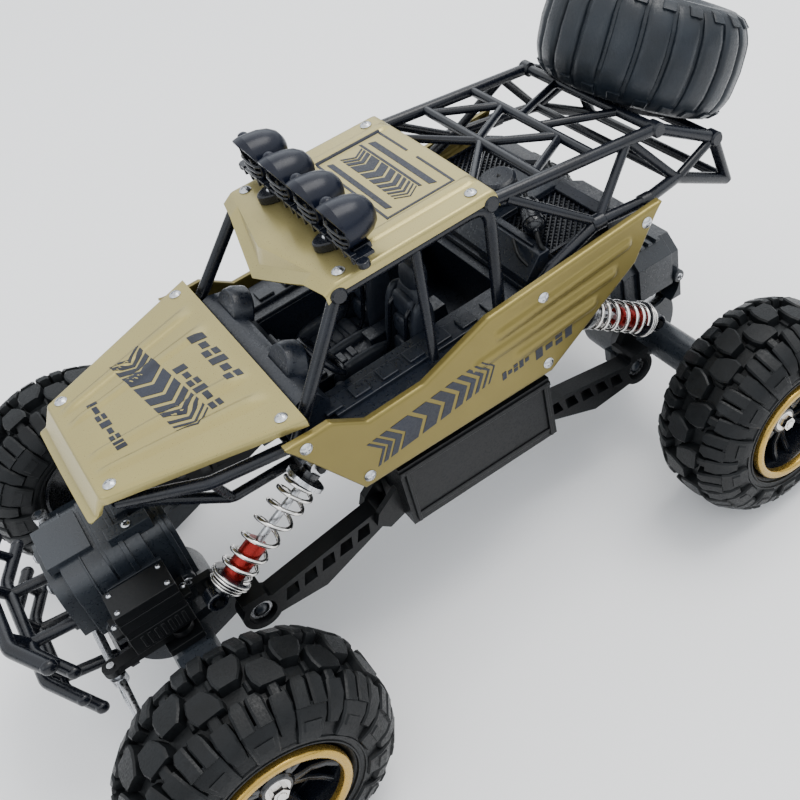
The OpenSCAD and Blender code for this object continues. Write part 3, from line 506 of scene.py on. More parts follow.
def hood_grid():
    stations = list(np.concatenate([[0, 1.5, 3], np.linspace(5, 64, 30), [65.5, 66.6]]))
    across = np.linspace(-1, 1, 91)
    rows = []
    for u in stations:
        half = hood_half(u)
        edge = rolled(half, 3.6, EDGE_ROLL)
        line = [hood_point(u, -y) + np.array([0, 0, z]) for y, z in reversed(edge[1:])]
        line += [hood_point(u, t * (half - EDGE_ROLL)) for t in across]
        line += [hood_point(u, y) + np.array([0, 0, z]) for y, z in edge[1:]]
        rows.append(line)
    # the nose is folded down over a small radius and leans forward to a narrow lip
    last = np.array(rows[-1])
    for k in range(1, 6):
        a = math.radians(60) * k / 5
        shift = np.array([EDGE_ROLL * math.sin(a), 0, -EDGE_ROLL * (1 - math.cos(a))])
        row = last + shift
        row[:, 1] *= 1 - 0.008 * k
        rows.append(list(row))
    for level, ahead in ((132.4, 0.62), (131.7, 0.9), (131.0, 3.6)):
        low = np.array(rows[-1])
        fall = np.maximum(0, low[:, 2] - level)
        low[:, 0] += fall * ahead
        low[:, 2] -= fall
        low[:, 1] *= 0.995
        rows.append(list(low))
    return np.array(rows)


upper("hood_skin", [sheet_metal(hood_grid(), 1.0)], GOLD, ["hood_panel"], angle=50)


ROOF_TOP = ROOF_Z - 0.2
VISOR_X = 21             # the visor starts here, in front of the roof's flat field


def visor_line(y):
    """Where the visor is creased downwards."""
    return 30.0 - 8.0 * abs(y) / 40.0


def roof_height(x, y):
    """Height of the roof's top surface over its flat field."""
    y = np.abs(y)
    press = rib(y, 30.0, 1.6, 1.6) * smoothstep((x + 44) / 3) * smoothstep((6 - x) / 5)
    fall = np.maximum(0, x - VISOR_X) * math.tan(math.radians(4))
    return 1.0 * press + 0.5 * (1 - (y / 42.0) ** 2) - fall


def roof_grid():
    xs = list(np.concatenate([[-45.2, -44.9, -44.2, -43.4], np.linspace(-42, 8, 26), np.linspace(10, VISOR_X, 5)]))
    across = np.concatenate([np.linspace(-40.6, -24, 22), np.linspace(-22, 22, 15), np.linspace(24, 40.6, 22)])
    edge = rolled(42.2, 4.0, EDGE_ROLL)
    side = [(-y, z) for y, z in reversed(edge[1:])] + [(y, 0.0) for y in across] + list(edge[1:])
    rows = []
    for x in xs:
        back = {-45.2: -3.6, -44.9: -1.4, -44.2: -0.4, -43.4: -0.1}.get(x, 0.0)
        rows.append([(x, y, ROOF_TOP + float(roof_height(x, y)) + z + back) for y, z in side])
    # visor: nearly flat to a crease, a steep facet that widens to the middle, and a sloping lip
    for share in (0.33, 0.66, 1.0):
        reach = [VISOR_X + (visor_line(y) - VISOR_X) * share for y, z in side]
        rows.append([(x, y, ROOF_TOP + float(roof_height(x, y)) + z) for x, (y, z) in zip(reach, side)])
    for crease, facet, lip in ((1, 0, 0), (1, 0.97, 0), (2, 1, 0), (2, 1, 0.5), (2, 1, 1)):
        row = []
        for y, z in side:
            x = visor_line(y)
            taper = max(0.0, 1 - abs(y) / 30) ** 0.9
            row.append((x + 0.4 * crease + 2.2 * taper * facet + 4.0 * lip, y * (1 - 0.012 * lip),
                        ROOF_TOP + float(roof_height(x, y)) + z - 0.15 * crease - 7.0 * taper * facet
                        - (2.2 + 1.0 * taper) * lip))
        rows.append(row)
    return np.array(rows)


upper("roof_skin", [sheet_metal(roof_grid(), 1.0)], GOLD, ["roof_panel"], angle=30)

SIDE_OUTLINE = [(64, 138), (53, 137), (46, 137), (34, 128), (10, 128), (-21, 138), (-106, 141), (-89, 120),
                (-42, 95.5), (44, 100)]
SIDE_Y = 58.2            # outer face of the left side panel
SIDE_RIBS = [((-24, 128.4), (-86, 131.5)), ((-12, 121.2), (-77, 122.6)), ((-30, 113.8), (-66, 114.6))]


def side_lift(x, z):
    """Height of the side panel's pressed ribs over its flat face."""
    lift = 0.0
    for (x0, z0), (x1, z1) in SIDE_RIBS:
        t = max(0, min(1, ((x - x0) * (x1 - x0) + (z - z0) * (z1 - z0)) / ((x1 - x0) ** 2 + (z1 - z0) ** 2)))
        d = math.hypot(x - x0 - t * (x1 - x0), z - z0 - t * (z1 - z0))
        lift = max(lift, 1.0 * float(smoothstep((2.9 - d) / 1.9)))
    return lift


def side_panel_shape():
    """Panel with ribs and rolled edges, as columns between its lower and upper outline."""
    xs = sorted({round(x, 3) for x in np.linspace(-105.4, 63.4, 120)} | {53.0, 46.0, 34.0, 10.0, -21.0, -42.0,
                                                                      -89.0, 44.0})

    def span(x):
        zs = []
        for (x0, z0), (x1, z1) in zip(SIDE_OUTLINE, SIDE_OUTLINE[1:] + SIDE_OUTLINE[:1]):
            if min(x0, x1) <= x <= max(x0, x1) and abs(x1 - x0) > 1e-6:
                zs.append(z0 + (z1 - z0) * (x - x0) / (x1 - x0))
        return min(zs), max(zs)
    rows = []
    for x in xs:
        z0, z1 = span(x)
        gap = z1 - z0
        r = min(1.5, gap * 0.3)
        column = []
        for k in range(5):
            a = math.pi / 2 * (1 - k / 4)
            column.append((x, -1.5 * (1 - math.cos(a)), z0 + r * (1 - math.sin(a))))
        column.insert(0, (x, -3.2, z0))
        for t in np.linspace(0, 1, 42)[1:-1]:
            z = z0 + r + (gap - 2 * r) * t
            column.append((x, side_lift(x, z), z))
        for k in range(5):
            a = math.pi / 2 * k / 4
            column.append((x, -1.5 * (1 - math.cos(a)), z1 - r * (1 - math.sin(a))))
        column.append((x, -3.2, z1))
        rows.append(column)
    grid = np.array(rows)
    grid[:, :, 1] += SIDE_Y
    top = np.stack([grid[:, :, 0], grid[:, :, 2], grid[:, :, 1]], 2)
    p, f = sheet_metal(top, 1.0)
    return np.stack([p[:, 0], p[:, 2], p[:, 1]], 1), [list(reversed(q)) for q in f]


side_shape = side_panel_shape()
# both side panels carry the darker gold, which is painted shade
upper("side_skin_left", [side_shape], SIDE_GOLD_PAINTED_SHADE, ["left_side_panel"], angle=50)
upper("side_skin_right", [mirrored(side_shape)], SIDE_GOLD_PAINTED_SHADE, ["right_side_panel"], angle=50)


# ---------------------------------------------------------------- printed bars and chevrons

def patch(corners, surface, proud=0.14, step=1.6):
    """Four-cornered mark laid on a surface, where surface(s, t) gives a point and a normal."""
    c = np.array(corners, float)
    nu = max(2, int(max(np.linalg.norm(c[1] - c[0]), np.linalg.norm(c[2] - c[3])) / step) + 2)
    nv = max(2, int(max(np.linalg.norm(c[3] - c[0]), np.linalg.norm(c[2] - c[1])) / step) + 2)
    rows, under = [], []
    for i in range(nu):
        row, low = [], []
        for j in range(nv):
            u, v = i / (nu - 1), j / (nv - 1)
            s, t = (1 - u) * (1 - v) * c[0] + u * (1 - v) * c[1] + u * v * c[2] + (1 - u) * v * c[3]
            p, n = surface(s, t)
            row.append(p + n * proud)
            low.append(p - n * 0.3)
        rows.append(row)
        under.append(low)
    return closed_sheet(np.array(rows), np.array(under), flip=True)


def bar_mark(s, width, height, lean, low=0.0, high=1.0):
    """Leaning bar that starts at s."""
    return [(s + lean * low * height, low * height), (s + width + lean * low * height, low * height),
            (s + width + lean * high * height, high * height), (s + lean * high * height, high * height)]


def chevron_mark(s, width, height, point):
    mid = height / 2
    return [[(s, 0), (s + width, 0), (s + width + point, mid), (s + point, mid)],
            [(s + point, mid), (s + width + point, mid), (s + width, height), (s, height)]]


def bold_marks(height):
    """A wide group of stripes and arrow heads that all point the same way, about 4.3 heights long."""
    h = height
    marks = []
    for start, wide in ((0.0, 0.10), (0.2, 0.16), (0.46, 0.24)):
        marks += chevron_mark(start * h, wide * h, h, 0.36 * h)
    marks += chevron_mark(0.82 * h, 0.62 * h, h, 0.36 * h)
    marks += chevron_mark(1.6 * h, 0.5 * h, h, 0.36 * h)
    marks += chevron_mark(2.26 * h, 0.38 * h, h, 0.36 * h)
    for start, wide in ((2.8, 0.28), (3.22, 0.2), (3.56, 0.14), (3.84, 0.09), (4.07, 0.06)):
        marks += chevron_mark(start * h, wide * h, h, 0.36 * h)
    return marks


def dash_marks(count, width, height, lean, gap=0.45):
    """A row of short leaning dashes, tall and low in turn."""
    marks = []
    for k in range(count):
        s = k * width * (1 + gap)
        low, high = ((0, 1), (0.25, 0.75), (0, 0.45))[k % 3]
        marks.append(bar_mark(s, width, height, lean, low, high))
        if k % 3 == 2:
            marks.append(bar_mark(s, width, height, lean, 0.6, 1))
    return marks


def laid(marks, origin, angle, surface):
    """Marks turned and moved in the surface's own s and t."""
    c, s = math.cos(math.radians(angle)), math.sin(math.radians(angle))
    out = []
    for m in marks:
        out.append(patch([(origin[0] + x * c - y * s, origin[1] + x * s + y * c) for x, y in m], surface))
    return out


def on_hood(s, t):
    """s runs to the car's left, t towards the windscreen."""
    u = HOOD_LONG - t
    return hood_point(u, s), np.array([math.sin(HOOD_TILT), 0, math.cos(HOOD_TILT)])


def on_roof(s, t):
    return np.array([-t, s, ROOF_TOP + float(roof_height(-t, s))]), np.array([0, 0, 1.0])


def on_left(s, t):
    """s runs backwards from the middle, t up."""
    return np.array([-s, SIDE_Y + side_lift(-s, t), t]), np.array([0, 1.0, 0])


def on_right(s, t):
    return np.array([s, -SIDE_Y - side_lift(s, t), t]), np.array([0, -1.0, 0])


hood_marks = laid(bold_marks(13.0), (-29, 26), 7, on_hood)
for row, origin, angle in (((6, 3.7, 4.6, 0.2), (-6, 43.5), 5), ((6, 4.1, 6.0, 0.25), (-17, 54.5), 3),
                           ((7, 3.2, 3.8, 0.2), (-16, 12), 2)):
    hood_marks += laid(dash_marks(*row), origin, angle, on_hood)
upper("hood_print", hood_marks, PRINT_AND_PAINTED_SHADE, angle=60)

frame_marks = [[(-27, 9), (25, 9), (25, 10), (-27, 10)], [(-27, 37.5), (-6, 37.5), (-6, 38.5), (-27, 38.5)],
               [(1, 37.5), (25, 37.5), (25, 38.5), (1, 38.5)], [(-28, 9), (-27, 9), (-27, 38.5), (-28, 38.5)],
               [(25, 9), (26, 9), (26, 38.5), (25, 38.5)]]
roof_marks = laid(frame_marks, (0, 0), 0, on_roof)
roof_marks += laid(bold_marks(9.8), (-23, 17.5), 0, on_roof)
roof_marks += laid([bar_mark(0, 44, 2.6, 0.6), bar_mark(0, 44, 1.0, 0.6, -3.2, -2.2)], (-24, 31), 0, on_roof)
roof_marks += laid([bar_mark(0, 44, 2.2, 0.6)], (-24, 12), 0, on_roof)
upper("roof_print", roof_marks, PRINT_AND_PAINTED_SHADE, angle=60)

for name, surface, first, small in (("left", on_left, -37, 20), ("right", on_right, -14, -52)):
    marks = laid(bold_marks(12.5), (first, 106.5), 4, surface)
    marks += laid(dash_marks(5, 1.9, 3.4, 0.2), (small, 107.2), 3, surface)
    marks += laid(dash_marks(4, 3.4, 4.6, 0.2), (small + 16, 106.2), 4, surface)
    upper("side_print_" + name, marks, PRINT_AND_PAINTED_SHADE, angle=60)


# ---------------------------------------------------------------- cage

CAGE_R = 2.45
TOP, LOW = ROOF_Z - 5.2, 128.0
cage = []
for part in (
        tube([[58, 47.3, LOW - 1], [22, 40, TOP], [-42, 40, TOP], [-30, 49.5, LOW - 1]], CAGE_R),
        tube([[-10, 40, TOP], [0, 49.5, LOW]], CAGE_R * 0.8),
        tube([[-43, 40, TOP], [-120, 41, TOP - 10], [-147, 44, TOP - 27], [-153, 44, 118]], CAGE_R),
        tube([[-46, 49.5, LOW], [-56, 50, LOW + 7], [-80, 50, 142], [-104, 50, 138], [-124, 46, 136],
              [-153, 44, 118.5]], CAGE_R),
        tube([[-49, 41, TOP - 2], [-80, 50, 142]], 1.9),
        tube([[-106, 40.8, TOP - 8.2], [-80, 50, 141.5]], 1.9),
        tube([[-106, 40.8, TOP - 8.2], [-124, 46, 136]], 1.9),
        tube([[-147, 44, TOP - 27], [-126, 46, 136]], 1.9),
        tube([[60, 47.0, LOW], [88, 43, 130], [116, 26, 130]], CAGE_R),
        tube([[58, 33.5, 108], [84, 36, 112], [104, 30, 124], [115, 26.5, 129]], 2.1),
        tube([[84, 36, 112], [88, 43, 130]], 1.7)):
    cage.append(both(part))
# cross bars
for x, y, z, r in ((22, 40, TOP, 2.2), (-42, 40, TOP, 2.2), (-66, 40.3, TOP - 3.1, 2.0), (-90, 40.6, TOP - 6.2, 2.0),
                   (-120, 41, TOP - 10, 2.2), (-147, 44, TOP - 27, 2.2), (-153, 44, 118.6, 2.1), (-124, 46, 136, 2.0),
                   (116, 26, 130, 2.1)):
    cage.append(tube([[x, -y, z], [x, y, z]], r))
for a, b in (((-42, 29, TOP), (-66, 0.6, TOP - 3.1)), ((-66, 1.2, TOP - 3.1), (-90, 18, TOP - 6.2)),
             ((-66, 35, TOP - 3.1), (-90, 20, TOP - 6.2)), ((-90, 6, TOP - 6.2), (-120, 20, TOP - 10))):
    cage.append(both(tube([a, b], 1.7)))
# collars where the rods are moulded together
for at, along in (([22, 40, TOP], [0, 1, 0]), ([-42, 40, TOP], [0, 1, 0]), ([-120, 41, TOP - 10], [0, 1, 0]),
                  ([-147, 44, TOP - 27], [0, 1, 0]), ([-104, 50, 138], [1, 0, 0.1]), ([-80, 50, 142], [1, 0, 0.1])):
    a = np.array(at, float)
    d = np.array(along, float) / np.linalg.norm(along)
    cage.append(both(rod(a - d * 3.0, a + d * 3.0, 3.2, chamfer=0.7)))
SPARE_AT, SPARE_TILT = np.array([-151.5, 0, 168.5]), 32.0


def on_spare(part):
    return moved(spun(part, "Y", -SPARE_TILT), SPARE_AT)


cage.append(on_spare(lathe([(0.01, -25.5), (20, -25.5), (20.6, -25), (20.6, -22.2), (20, -21.7), (3, -21.7), (3, -12),
                            (0.01, -12)], 40, axis="Z")))
upper("cage_tubes", cage, CAGE, ["roll_cage"], angle=40)


# ---------------------------------------------------------------- lights

LAMP_YS, LAMP_X, LAMP_Z = (-33, -11, 11, 33), 7.5, ROOF_Z + 12.8
pods, lenses, grilles = [], [], []
for y in LAMP_YS:
    at = (LAMP_X, y, LAMP_Z)
    shell = [(0.01, -10.4), (2.6, -10.1), (5.0, -8.9), (7.0, -6.3), (8.2, -2.5), (8.7, 1.5), (8.8, 4.4), (8.3, 4.8),
             (7.8, 4.4), (7.6, 2.0)]
    pods.append(moved(lathe(shell, 48, axis="X"), at))
    # peak over the glass
    arc = []
    for t, reach in ((0.0, 4.4), (0.55, 6.4), (1.0, 7.6)):
        ring = []
        for a in (math.radians(-84 + 168 * k / 18) for k in range(19)):
            far = 4.4 + (reach - 4.4) * max(0.0, math.cos(a)) ** 1.2
            ring.append((far, 8.9 * (1 - 0.05 * t) * math.sin(a), 8.9 * (1 - 0.05 * t) * math.cos(a)))
        arc.append(ring + [(x, 0.9 * dy, 0.9 * dz) for x, dy, dz in reversed(ring)])
    pods.append(moved(skin(arc), at))
    pods.append(moved(cushion((1.5, -8.2, 4.2), (4.6, 4.6, 4.6), power=2.2), at))
    pods.append(moved(box(-2.5, 3.5, -3.2, 3.2, -9.6, -6), at))
    lenses.append(moved(lathe([(0.01, 3.3), (2.7, 3.1), (5.3, 2.6), (7.65, 1.8), (7.65, 1.1), (0.01, 1.1)], 40,
                              axis="X"), at))
    for z in (-6.4, -3.6, -0.8):
        half = math.sqrt(max(1, 7.9 ** 2 - z * z))
        grilles.append(moved(tube([(4.2, -half, z), (5.4, -half * 0.7, z), (5.8, 0, z), (5.4, half * 0.7, z),
                                   (4.2, half, z)], 0.7, 8, bend=3), at))
    for side in (-3.6, 3.6):
        tall = math.sqrt(7.9 ** 2 - side * side)
        grilles.append(moved(tube([(4.6, side, -tall), (5.4, side, 2.0)], 0.65, 8), at))
upper("light_pods", pods, POD, ["light_bar"], angle=42)
upper("light_glass", lenses, LENS, ["light_lenses"], angle=50)
upper("light_grilles", grilles, CAGE, angle=50)
rail = [box(11.6, 13.5, -45, 45, ROOF_Z + 4.7, ROOF_Z + 6.1), box(11.2, 12.9, -46, 46, ROOF_Z + 2.9, ROOF_Z + 4.1),
        box(5.5, 12.2, -44, 44, ROOF_Z + 3.9, ROOF_Z + 5.2)]
for y in LAMP_YS:
    rail.append(box(4, 11, y - 6.5, y + 6.5, ROOF_Z + 3.2, ROOF_Z + 5.6))
    for k in (-9, -3.2, 3.2, 9):
        rail.append(box(11.4, 13.7, y + k - 0.7, y + k + 0.7, ROOF_Z + 2.8, ROOF_Z + 6.6))
for y in (-46.3, 46.3):
    rail.append(moved(rod((11.4, 0, 3.0), (11.4, 0, 5.6), 2.3, chamfer=0.4), (0, y, ROOF_Z)))
upper("light_rail", rail, CAGE, bevel=0.35)
feet = []
for y in (-22, 22):
    oval = [(10.5 + 6.2 * math.cos(a) + 1.5 * math.cos(a) ** 3, y + 4.8 * math.sin(a))
            for a in np.arange(32) * math.pi / 16]
    feet.append(prism(oval, ROOF_Z + 0.1, ROOF_Z + 4.0))
upper("light_feet", feet, CAGE, bevel=0.7, angle=40)


def screw_head(r=2.2):
    """Domed head, and solid cross bars that stand in for its cross recess as painted shade."""
    profile = [(0.01, 0.35), (0.28 * r, 0.35), (0.3 * r, 0.8), (0.62 * r, 0.72), (0.9 * r, 0.4), (r, 0.05), (r, -0.4)]
    dome = lathe(profile, 24, axis="Z")
    arms = [box(-0.62 * r, 0.62 * r, -0.13 * r, 0.13 * r, 0.2, 0.79), box(-0.13 * r, 0.13 * r, -0.62 * r, 0.62 * r,
                                                                          0.2, 0.79)]
    return dome, joined(arms)


def screws_at(places, r=2.2):
    """Heads, and the dark cross bars that paint shade into their recesses, at (point, axis, degrees) places."""
    heads, marks = [], []
    for at, axis, degrees in places:
        for target, shape in zip((heads, marks), screw_head(r)):
            target.append(moved(spun(shape, axis, degrees), at))
    return heads, marks


heads, marks = screws_at([((12, y, ROOF_Z + 4.1), "Z", 20) for y in (-22, 22)], 2.0)
upper("light_screws", heads, STEEL, angle=40)
# the screws' dark cross bars are painted shade for their recesses
upper("light_screw_painted_shade", marks, PRINT_AND_PAINTED_SHADE)


# ---------------------------------------------------------------- wheels, about their own centre, outer side +Y

TREAD = np.array([(0.0, 43.4), (7.0, 43.1), (12.0, 41.8), (16.5, 38.9), (19.6, 34.8), (21.0, 30.6), (20.9, 27.6),
                  (19.6, 25.4), (18.0, 24.2)])
LUGS = 14


def tread_curve():
    """Dense side profile of the carcass: points, outward normals and lengths from the crown."""
    from_crown = rounded_path([(y, r, 0) for y, r in TREAD], 6, 4)
    p = np.array(from_crown)[:, :2]
    keep = np.concatenate([[True], np.linalg.norm(np.diff(p, axis=0), axis=1) > 1e-4])
    p = p[keep]
    d = np.gradient(p, axis=0)
    n = np.stack([-d[:, 1], d[:, 0]], 1)
    n /= np.linalg.norm(n, axis=1)[:, None]
    return p, n, np.concatenate([[0], np.cumsum(np.linalg.norm(np.diff(p, axis=0), axis=1))])


CURVE, NORMALS, ALONG = tread_curve()


def tread_point(s, w, h, middle):
    """Point on the tyre at length s from the crown, w millimetres round it from an angle, h above it."""
    side = 1 if s >= 0 else -1
    a = abs(s)
    y, r = (float(np.interp(a, ALONG, CURVE[:, k])) for k in (0, 1))
    ny, nr = (float(np.interp(a, ALONG, NORMALS[:, k])) for k in (0, 1))
    angle = middle + w / max(r, 30.0)
    rr = r + nr * h
    return np.array([rr * math.sin(angle), side * (y + ny * h), rr * math.cos(angle)])


def lug(stations, middle, side):
    """Block along the tyre: stations are (s, offset, half width at the top, height)."""
    rings = []
    first, last = stations[0], stations[-1]
    full = [(first[0] - 0.9, first[1], first[2] * 0.92, -0.8)] + list(stations)
    full.append((last[0] + 0.9, last[1], last[2] * 0.92, -0.8))
    for s, off, half, h in full:
        c = min(0.55, max(0.0, h * 0.3))
        section = [(-half - 0.7, -0.9), (-half - 0.15, h - c), (-half + c, h), (half - c, h), (half + 0.15, h - c),
                   (half + 0.7, -0.9)]
        rings.append([tread_point(s, off + w, g, middle) * (1, side, 1) for w, g in section])
    p, f = skin(rings)
    return (p, [list(reversed(q)) for q in f]) if side > 0 else (p, f)


def tyre_part():
    profile = [(r, y) for y, r in CURVE] + [(24.15, 15.0), (24.15, 10)]
    whole = [(r, -y) for r, y in reversed(profile)] + profile[1:]
    parts = [lathe(whole, 112)]
    for r, y in ((29.5, 21.15), (27.0, 20.7)):
        for side in (-1, 1):
            parts.append(lathe([(r + 0.7, side * (y - 0.8)), (r + 0.3, side * (y + 0.35)), (r - 0.3, side * (y + 0.35)),
                                (r - 0.7, side * (y - 0.8))], 96))
    step = 2 * math.pi / LUGS
    for side in (-1, 1):
        for k in range(LUGS):
            a = (k + (0.25 if side < 0 else -0.25)) * step
            # wide shoulder lug with a slit down its upper half and a step at its foot
            for off in (-2.75, 2.75):
                parts.append(lug([(8.2, off * 0.92, 1.7, 3.9), (10.5, off, 2.25, 4.4), (17.0, off * 1.04, 2.3, 4.0)],
                                 a, side))
            for stations in (((16.0, 0, 5.2, 3.5), (19.5, 0, 5.0, 3.0), (23.0, 0, 4.4, 2.1), (27.0, 0, 3.8, 1.3)),
                             ((21.0, 0, 3.2, 3.0), (23.5, 0, 3.0, 2.4))):
                parts.append(lug(stations, a, side))
            # crown wedge, its neck, the narrow shoulder lug that the neck runs into, and a small block
            for stations in (((-1.6, 1.2, 3.0, 4.2), (1.5, 0.6, 4.4, 4.3), (5.0, 0, 4.9, 4.4), (7.4, -0.4, 4.0, 4.3)),
                             ((6.5, 0, 1.5, 3.2), (12.0, 0, 1.7, 3.2)),
                             ((11.4, 0, 2.7, 3.9), (15.0, 0, 3.0, 3.9), (19.0, 0, 2.7, 3.1), (22.5, 0, 2.0, 2.0)),
                             ((2.0, 5.9, 0.8, 1.3), (6.0, 5.9, 0.8, 1.3))):
                parts.append(lug(stations, a + step / 2, side))
    return joined(parts)


def spoke():
    """One of a pair of spokes, curving outwards from the hub to the barrel."""
    rings = []
    for r, y, wide, deep, lean in ((5.0, 10.5, 2.0, 5.5, 0.0), (8.0, 10.8, 1.6, 4.6, 1.0), (13.0, 10.6, 1.35, 3.6, 2.4),
                                   (18.0, 11.6, 1.4, 3.6, 3.4), (22.9, 14.0, 1.8, 4.6, 4.2)):
        rings.append([(lean + w * wide, y + d * deep, r) for w, d in
                      ((-1, -0.5), (-1, 0.25), (-0.55, 0.5), (0.55, 0.5), (1, 0.25), (1, -0.5))])
    return skin(rings)


def rim_part():
    barrel = [(23.95, -18), (24.1, -17), (22.6, -14.5), (22.4, 8), (23.1, 14), (23.9, 18.6), (24.0, 19.0), (22.9, 19.0),
              (22.3, 17.5), (21.5, 9), (21.4, -15.5), (22.6, -18)]
    parts = [lathe(barrel, 96, closed=True)]
    parts.append(lathe([(4.3, -11.5), (7.4, -11.5), (7.4, 4), (6.9, 9.5), (6.6, 13.2), (5.6, 14.2), (0.01, 14.2),
                        (0.01, 8), (4.3, 8)], 48, closed=True))
    for k in range(6):
        for sign in (-1, 1):
            parts.append(spun(spoke() if sign > 0 else mirrored(spoke(), 0), "Y", k * 60))
    parts.append(lathe([(21.8, 6.5), (21.8, -2), (7.0, -4), (7.0, -1.5), (20.5, 1.0), (20.5, 6.5)], 72, closed=True))
    return joined(parts)


def hub_nut():
    hexagon = [(3.3 * math.cos(a), 3.3 * math.sin(a)) for a in np.arange(6) * math.pi / 3]
    nut = prism(hexagon, 14.0, 17.0, "XZ")
    collar = lathe([(0.01, 14.6), (4.7, 14.4), (4.9, 14.0), (0.01, 13.9)], 32)
    stud = lathe([(0.01, 17.5), (1.6, 17.5), (1.9, 17.1), (1.9, 15), (0.01, 15)], 20)
    return joined([nut, collar, stud])


RING_PROFILE = [(20.6, 19.1), (20.6, 21.4), (21.0, 22.1), (21.8, 22.45), (23.2, 22.45), (23.9, 22.0), (24.15, 21.0),
                (24.15, 19.1)]
tyre, rim, nut = tyre_part(), rim_part(), hub_nut()
ring = lathe(RING_PROFILE, 112, closed=True)


def wheel_at(part, end, side):
    part = part if side > 0 else mirrored(part)
    return moved(part, (end * AXLE_X, side * TYRE_Y, AXLE_Z))


for label, side in SIDES:
    body = "front_" + label + "_wheel"
    piece("tyre_front_" + label, [wheel_at(tyre, 1, side)], RUBBER, body, ["front_" + label + "_tyre"], angle=34)
    piece("rim_front_" + label, [wheel_at(rim, 1, side)], GLOSS, body, bevel=0.3)
    piece("ring_front_" + label, [wheel_at(ring, 1, side)], RING, body, ["front_" + label + "_bead_ring"], angle=50)
    piece("nut_front_" + label, [wheel_at(nut, 1, side)], CHROME, body, bevel=0.25)
for name, part, mat, options in (("tyre", tyre, RUBBER, {"replaces": ["rear_tyres"], "angle": 34}),
                                 ("rim", rim, GLOSS, {"replaces": ["rear_rims"], "bevel": 0.3}),
                                 ("ring", ring, RING, {"replaces": ["rear_bead_rings"], "angle": 50}),
                                 ("nut", nut, CHROME, {"bevel": 0.25})):
    piece(name + "s_rear", [wheel_at(part, -1, 1), wheel_at(part, -1, -1)], mat, "rear_wheels", **options)
# stub axles seen inside the rims, with the cups of the front drive joints
for label, side in SIDES:
    cup = lathe([(4.6, 63 - TYRE_Y), (6.7, 63 - TYRE_Y), (6.7, 73.2 - TYRE_Y), (4.1, 74 - TYRE_Y), (4.1, 8), (0.01, 8),
                 (0.01, -22), (4.6, -24)], 32, closed=True)
    piece("stub_front_" + label, [wheel_at(cup, 1, side)], STEEL, "front_" + label + "_wheel",
          ["front_" + label + "_rim"], angle=40)


# ---------------------------------------------------------------- spare tyre

def spare_part():
    """Barrel of broad rounded strips across the tread, with short teeth at both shoulders."""
    r, w, strips = 43.0, 21.5, 22
    outline = [(-w, r - 9.5), (-w + 1.5, r - 6.5), (-w + 5, r - 4.2), (-w + 11, r - 2.4), (0, r - 1.7),
               (w - 11, r - 2.4), (w - 5, r - 4.2), (w - 1.5, r - 6.5), (w, r - 9.5)]
    outline = [(y, rr) for y, rr, _ in rounded_path([(y, rr, 0) for y, rr in outline], 5, 3)]
    body = [(rr, y) for y, rr in outline]
    body += [(r - 16, w), (23, w - 1.5), (21, w - 7), (12, w - 8), (0.01, w - 8)]
    body = [(0.01, -w + 8), (12, -w + 8), (21, -w + 7), (23, -w + 1.5), (r - 16, -w)] + body
    parts = [lathe(body, 132, axis="Z")]
    ys = [y for y, _ in outline]
    rs = [rr for _, rr in outline]

    def at(y, w_off, h, middle):
        base = float(np.interp(y, ys, rs))
        a = middle + w_off / r
        return ((base + h) * math.cos(a), (base + h) * math.sin(a), y)
    for k in range(strips):
        a = 2 * math.pi * k / strips
        rings = []
        for i, y in enumerate(np.linspace(-19.5, 19.5, 15)):
            edge = 1 - (abs(y) / 19.5) ** 6
            bow = 1.3 * math.cos(y / 19.5 * math.pi / 2)
            h = 0.15 + 1.45 * edge
            half = 5.2 - 0.35 * (1 - edge)
            section = [(-half - 0.4, -1.0), (-half, h * 0.55), (-half + 0.8, h), (-half / 2, h + 0.22),
                       (half / 2, h + 0.22), (half - 0.8, h), (half, h * 0.55), (half + 0.4, -1.0)]
            rings.append([at(y, bow + s, g, a) for s, g in section])
        parts.append(skin(rings))
        for side in (-1, 1):
            rings = []
            for y, half, h in ((21.0, 2.6, 0.0), (20.2, 3.0, 1.6), (17.5, 3.0, 2.2), (16.6, 2.6, 0.4)):
                rings.append([at(side * y, s, g, a + math.pi / strips * 0.5) for s, g in
                              ((-half - 0.3, -1), (-half, h * 0.7), (-half + 0.5, h), (half - 0.5, h),
                               (half, h * 0.7), (half + 0.3, -1))])
            parts.append(skin(rings))
    return joined(parts)


upper("spare_wheel", [on_spare(spare_part())], SPARE, ["spare_tyre"], angle=38)
upper("spare_cap", [on_spare(lathe([(0.01, 16.4), (4.2, 16.4), (4.8, 15.8), (5.2, 13.0), (9.5, 12.7), (10, 12.2),
                                    (10, 11), (0.01, 11)], 36, axis="Z"))], GLOSS, angle=40)


# ---------------------------------------------------------------- dampers and springs

